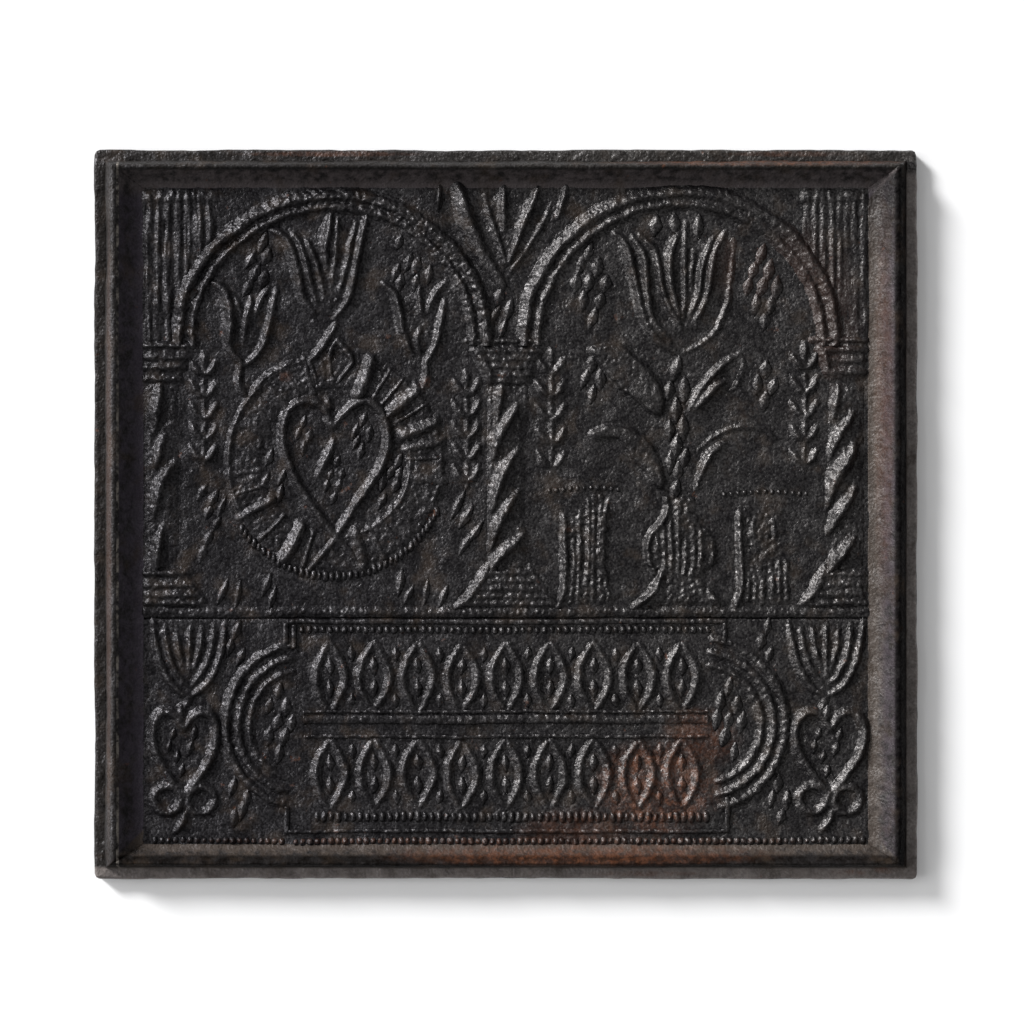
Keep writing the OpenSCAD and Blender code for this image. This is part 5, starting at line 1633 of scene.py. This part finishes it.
def make_pedestal(name, x, half, high, edge, flute_lines):
    c = Carving(RIGHT, x - half - 12, x + half + 12, BOARD_FOOT, -130)
    c.slab([(x - half + 2, high), (x + half - 2, -138), (x + half - 3, -205),
            (x + half + 5, -223), (x - half - 2, -223), (x - half + 2, -205)], 0.7, 6.0, 0.3)
    c.ridge(edge, 3.2, 4.8, 0.6)
    flutes(c, flute_lines)
    c.piece(name, "carved_iron", rough=0.9)


make_vase()
make_pedestal("pedestal_left", -78, 21, -146,
              [(-99, -146.5), (-98, -177.5), (-98, -208), (-104, -225)], [
    [(-90.5, -160), (-90.5, -191), (-93, -221.5)], [(-84.5, -143), (-85.5, -182.5), (-87, -221.5)],
    [(-77.5, -134.5), (-77.5, -179), (-80, -221.5)],
    [(-72.5, -131), (-73.5, -177.5), (-73.5, -221.5)],
    [(-66.5, -131), (-68, -177.5), (-66.5, -221.5)],
    [(-59, -133), (-64, -151.5), (-64, -194.5), (-59, -222.5)]])
make_pedestal("pedestal_right", 71, 23, -140,
              [(50.5, -145), (51, -174), (52, -208), (47, -226)], [
    [(62.5, -150), (62.5, -158.5), (62.5, -167)], [(80, -148.5), (81, -158.5), (81, -168.5)],
    [(58, -194.5), (58, -208), (57, -221.5)], [(64, -199.5), (64, -211.5), (63, -222.5)],
    [(71, -201), (70, -211.5), (70, -222.5)], [(78.5, -197.5), (78.5, -209.5), (78.5, -221.5)],
    [(84.5, -187.5), (84.5, -206.5), (85.5, -221.5)],
    [(90.5, -186), (90.5, -206.5), (91.5, -221.5)]])

# %% [markdown]
# Over each pedestal runs a short row of beads, like the edge of a cloth, and two sprigs stand
# beside the columns as in the left arch.

# %% Beads over the pedestals, and the sprigs
rows = [[(-110, -127), (-82, -124), (-52, -126)], [(38, -129.5), (72, -127.5), (108, -129.5)]]
cast_piece("altar_beads", [beads(smooth(row, 8) + RIGHT, 5.6, 2.0, 2.5, 1.5, "carved_iron", 18)
                           for row in rows], "carved_iron", rough=0.3, on=0.4)
make_sprigs("spray_right", RIGHT, [((-109, -114), (-109, -14), 5, 12),
                                   ((106, -112), (106, -10), 5, 11)])

# %% [markdown]
# ## The lower board
#
# A long tablet with two bands of leafed lozenges fills the middle. It is framed by thin rules
# and rows of beads, and its ends swell into nested C scrolls. A tulip and a heart stand beyond
# it on each side. The rules are straight rolls and the beads follow level lines, so the first
# two of the Geometry Nodes trees make them. All places are measured from the seam.

# %% The tablet's rules and beads
def level(z, x0, x1, half, rise):
    line = np.array([(x, z) for x in np.linspace(x0, x1, 40)]) + SEAM
    return roll(line, half, rise, "tablet_iron")


def upright(x, z0, z1, half, rise):
    line = np.array([(x, z) for z in np.linspace(z0, z1, 12)]) + SEAM
    return roll(line, half, rise, "tablet_iron")


def bead_row(points, *sizes):
    """Beads from the seam's middle: pitch, half width, half height, rise and seed."""
    *shape, seed = sizes
    return beads(np.array(points, float) + SEAM, *shape, "tablet_iron", seed)


cast_piece("tablet_frame", [
    level(-3.0, -186, 188, 2.6, 2.4), level(-79.5, -172, 172, 1.8, 1.8),
    level(-86.0, -172, 172, 4.2, 2.5), level(-100.5, -172, 172, 2.0, 1.9),
    level(-181.0, -186, 188, 2.2, 2.0), upright(-187, -24, -4, 2.8, 2.8),
    upright(-180, -26, -6, 2.6, 2.6), upright(-186, -182, -160, 2.6, 2.4),
    upright(188, -182, -152, 2.6, 2.6), upright(186, -20, -4, 2.4, 2.2)],
    "tablet_iron", rough=0.8)
cast_piece("tablet_beads", [
    bead_row([(-173, -10), (0, -10.2), (172, -10)], 6.0, 2.5, 3.4, 1.8, 21),
    bead_row([(-160, -169), (0, -169), (170, -169)], 6.1, 2.6, 4.8, 2.0, 22)],
    "tablet_iron", rough=0.4, on=0.4)
cast_piece("foot_beads", [
    bead_row([(-178, -190), (40, -189.6), (303, -189)], 5.9, 2.5, 3.2, 1.7, 23),
    bead_row([(-298, -188.5), (-240, -189), (-190, -189.5)], 5.9, 2.4, 3.0, 1.7, 24)],
    "tablet_iron", rough=0.5, on=0.3)

# %% [markdown]
# The two bands of the tablet carry an even run of one ornament: two bowed leaves that meet
# over and under a pair of lozenges. It is drawn once for a unit and repeated, each unit a
# little different because a hand cut it.

# %% The tablet's bands
BAND_UNITS, BAND_HALF_WIDTH, BAND_HALF_HEIGHT = 9, 172, 28
BOW = (3.5, 3.5, 0.4)


def make_band(name, z):
    wide, tall = BAND_HALF_WIDTH, BAND_HALF_HEIGHT
    c = Carving(SEAM, -wide - 2, wide + 2, z - tall - 5, z + tall + 5)
    rng = np.random.default_rng(BAND_UNITS)
    pitch = 2 * (wide - 4) / BAND_UNITS
    rows = []
    for i in range(BAND_UNITS):
        x, w = (i - (BAND_UNITS - 1) / 2) * pitch, pitch * 0.34
        for way in (-1, 1):
            k = rng.uniform(0.94, 1.06, 3)
            c.ridge([(x + way * 1.5, z - tall * k[0]), (x + way * w * 0.8, z - 0.45 * tall),
                     (x + way * w * k[1], z), (x + way * w * 0.8, z + 0.45 * tall),
                     (x + way * 1.5, z + tall * k[2])], *BOW)
            rows.append((x, z + seam_low + way * 0.34 * tall, rng.uniform(-8, 8), 4.4, 8.6, 2.7))
        if i:
            for k in (-0.7, 0.7):
                rows.append((x - pitch / 2, z + seam_low + k * tall, rng.uniform(-10, 10),
                             4.0, 7.0, 2.5))
    c.piece(name, "tablet_iron", rough=0.4)
    cast_piece(name + "_lozenges", [stamps(rows, "tablet_iron")], "tablet_iron", 0.4, [name])


make_band("fill_upper", -50.5)
make_band("fill_lower", -132.5)

# %% [markdown]
# At each end of the tablet three arcs lie one inside the other and open towards it. They are
# elliptic strokes on one board, so their ends melt into the tablet's frame.

# %% Scrolls at the tablet's ends
def make_scroll(name, way, cx, cz, arcs):
    """Each arc: the ellipse's half axes, half width and rise. way is -1 to mirror them."""
    reach = arcs[0][0] + 8
    sides = sorted((-way * reach, way * 16))
    c = Carving(SEAM, cx + sides[0], cx + sides[1], cz - reach - 8, cz + reach + 8)
    for rx, rz, half, rise in arcs:
        line = arc(0, 0, rx, rz, 96, 258, 40) * (way, 1) + (cx, cz)
        c.ridge(line, half, rise, 0.55, steps=0)
    c.piece(name, "tablet_iron", rough=0.7)


make_scroll("scroll_left", 1, -176, -91, [(62, 68, 4.4, 4.4), (52, 57, 4.0, 4.0),
                                          (42, 46, 3.0, 3.2)])
make_scroll("scroll_right", -1, 168, -90, [(69, 72, 4.2, 3.4), (59, 61, 4.2, 4.0),
                                           (49, 50, 3.6, 3.6)])

# %% [markdown]
# Beyond the scrolls stand a tulip and under it a heart, on each side. The halves of each are
# alike on the real plate, so a stroke is drawn once and mirrored.

# %% Tulips and hearts beside the tablet
def make_low_tulip(name, x):
    c = Carving((x, seam_low), -38, 40, -84, 2)
    c.slab([(-28, -8), (-12, -14), (0, -8), (12, -14), (28, -8), (25, -34), (14, -56), (0, -64),
            (-14, -56), (-25, -34)], 0.9, 7.0)
    for way in (-1, 1):
        c.strokes([(3.6, 4.2, 0.4, [(way * 31, -3), (way * 28, -24), (way * 22, -44),
                                    (way * 12, -59), (0, -66)]),
                   (2.7, 3.6, 0.35, [(way * 21, -5), (way * 19, -24), (way * 13, -42),
                                     (way * 3, -56)]),
                   (2.2, 3.4, 0.3, [(way * 11, -7), (way * 9, -26), (way * 3, -46)])])
    c.strokes([(2.2, 3.6, 0.3, [(1, -4), (0, -28), (0, -50)]),
               (2.4, 2.6, 0.4, [(0, -64), (-2, -72), (-6, -80)])])
    c.piece(name, "carved_iron", rough=0.5)


def make_low_heart(name, x, wide):
    c = Carving((x, seam_low), -40, 40, -190, -68)
    for way in (-1, 1):
        c.ridge([(0, -94), (way * 9, -82), (way * 20, -80), (way * wide, -93),
                 (way * (wide - 2), -112), (way * 15, -132), (0, -150)], 4.2, 4.3, 0.65)
        c.ridge(arc(way * 14.5, -154, 11.5, 11.0, 0, 360, 28), 3.6, 3.6, 1.0, steps=0)
    c.strokes([(3.6, 3.2, 0.3, [(2, -162), (-1, -172), (-8, -182)]),
               (4.0, 3.2, 0.5, [(-3, -74), (-4, -88)])])
    c.piece(name, "carved_iron", rough=0.5)
    lozenges(name + "_lozenges", (x, seam_low), [
        (-16, 3.6, 6.8, 3.4, 25, [(-10, -99), (-13, -109), (-6, -118), (8, -99), (5, -111),
                                  (-2, -130)])],
             [name])


make_low_tulip("tulip_low_left", -269)
make_low_tulip("tulip_low_right", 272)
make_low_heart("heart_low_left", -273, 27)
make_low_heart("heart_low_right", 275, 29)

# %% Lozenges of the lower board
lozenges("lozenges_low", SEAM, [
    (-14, 4.3, 9.0, 3.0, 31, [(-192.5, -62), (-201, -74.5), (-186, -75.5), (-193.5, -88.5),
                              (-181.5, -89), (-201, -100), (-188.5, -102), (-192.5, -114.5)]),
    (-12, 4.3, 9.0, 2.9, 32, [(189.5, -58.5), (182.5, -72), (196.5, -74), (179.5, -85.5),
                              (189.5, -87.5), (200.5, -89), (186, -101), (194, -114.5)]),
    (-16, 4.2, 8.8, 3.0, 33, [(-228.5, -10.5), (-234.5, -24.5), (-225, -33), (222, -7.5),
                              (217, -20), (223.5, -31)]),
    (-16, 4.2, 9.0, 3.0, 34, [(-232, -143.5), (-220, -153), (-223.5, -162.5), (-230, -169.5),
                              (231.5, -141), (226, -153), (239, -155), (234, -168.5)])])

# %% [markdown]
# ## Camera and lamps
#
# The plate is seen square on, filling the frame as the photograph does. The light is a key lamp
# high on the left that rakes across the relief, a broad weaker one from the left, one behind
# and a plain pale surround.

# %% Camera and lamps
FRAME_MM, AWAY_MM, SENSOR_MM = 869.6, 3000.0, 36.0
AIM_X, AIM_Z = 5.2, 312.0
SURROUND = 0.32

camera_data = bpy.data.cameras.new("camera")
camera_data.sensor_width = SENSOR_MM
camera_data.lens = SENSOR_MM * AWAY_MM / FRAME_MM
camera = add("camera", camera_data)
camera.location = (AIM_X / MM, (face_y - AWAY_MM) / MM, AIM_Z / MM)
camera.rotation_euler = (math.pi / 2, 0, 0)
bpy.context.scene.camera = camera


def sun(name, toward, strength, soft):
    """A sun in a direction, with a disc of soft degrees."""
    data = bpy.data.lights.new(name, "SUN")
    data.energy, data.angle = strength, math.radians(soft)
    add(name, data).rotation_euler = Vector(toward).to_track_quat("Z", "Y").to_euler()
    print(name, "strength", strength, "disc", soft)


sun("key_lamp", (-1.75, -1.0, 1.50), 5.2, 14.0)
sun("side_lamp", (-2.05, -1.0, 0.30), 1.8, 55.0)
sun("back_lamp", (0.9, 1.3, 1.0), 2.2, 30.0)

world = bpy.data.worlds.new("surround")
bpy.context.scene.world = world
world.use_nodes = True
surround = world.node_tree.nodes["Background"]
surround.inputs["Color"].default_value = (1, 1, 1, 1)
surround.inputs["Strength"].default_value = SURROUND
bpy.context.scene.view_settings.view_transform = "Standard"

# %% [markdown]
# ## The white ground
#
# The white surface that the plate stands against keeps its shadow. A white that only
# reflects comes out grey, so it also glows a little, but only for rays from the camera and for
# mirrored ones, so that it adds no light to the plate. From behind it is clear.

# %% The white ground
GROUND_HALF_M, GROUND_GAP = 3.0, 1.0
GROUND_WHITE, GLOW = (0.85, 0.85, 0.855, 1), 0.06


def ground_material():
    """White, with its glow for the camera's and mirrored rays, and clear from behind."""
    material = bpy.data.materials.new("white_ground")
    material.use_nodes = True
    w = Writer(material.node_tree)
    w.tree.nodes.clear()
    pale = w.put("ShaderNodeBsdfDiffuse", {"Color": GROUND_WHITE}).outputs[0]
    ray_kind = w.put("ShaderNodeLightPath").outputs
    seen = w.math("ADD", ray_kind["Is Camera Ray"], ray_kind["Is Glossy Ray"])
    seen = w.math("ADD", seen, ray_kind["Is Transmission Ray"])
    glow = w.put("ShaderNodeEmission", {"Strength": w.times(seen, GLOW)}).outputs[0]
    lit = w.put("ShaderNodeAddShader", {0: pale, 1: glow}).outputs[0]
    clear = w.put("ShaderNodeBsdfTransparent").outputs[0]
    behind = w.put("ShaderNodeNewGeometry").outputs["Backfacing"]
    both = w.put("ShaderNodeMixShader", {0: behind, 1: lit, 2: clear}).outputs[0]
    w.put("ShaderNodeOutputMaterial", {"Surface": both})
    return material


def make_ground():
    half, y = GROUND_HALF_M, (back_y + GROUND_GAP) / MM
    mesh = bpy.data.meshes.new("white_ground")
    mesh.from_pydata([(x, y, z) for x, z in corners(-half, half, -half, half)], [],
                     [(0, 1, 2, 3)])
    mesh.materials.append(ground_material())
    ground = add("white_ground", mesh)
    ground.visible_shadow = False
    print("ground at y", round(y * MM, 2), "mm")


make_ground()

# %% [markdown]
# ## Last
#
# The stamped forms were only dies, so they go.

# %% Remove the stamped forms
for form in (LOZENGE, TOOTH):
    bpy.data.objects.remove(form)
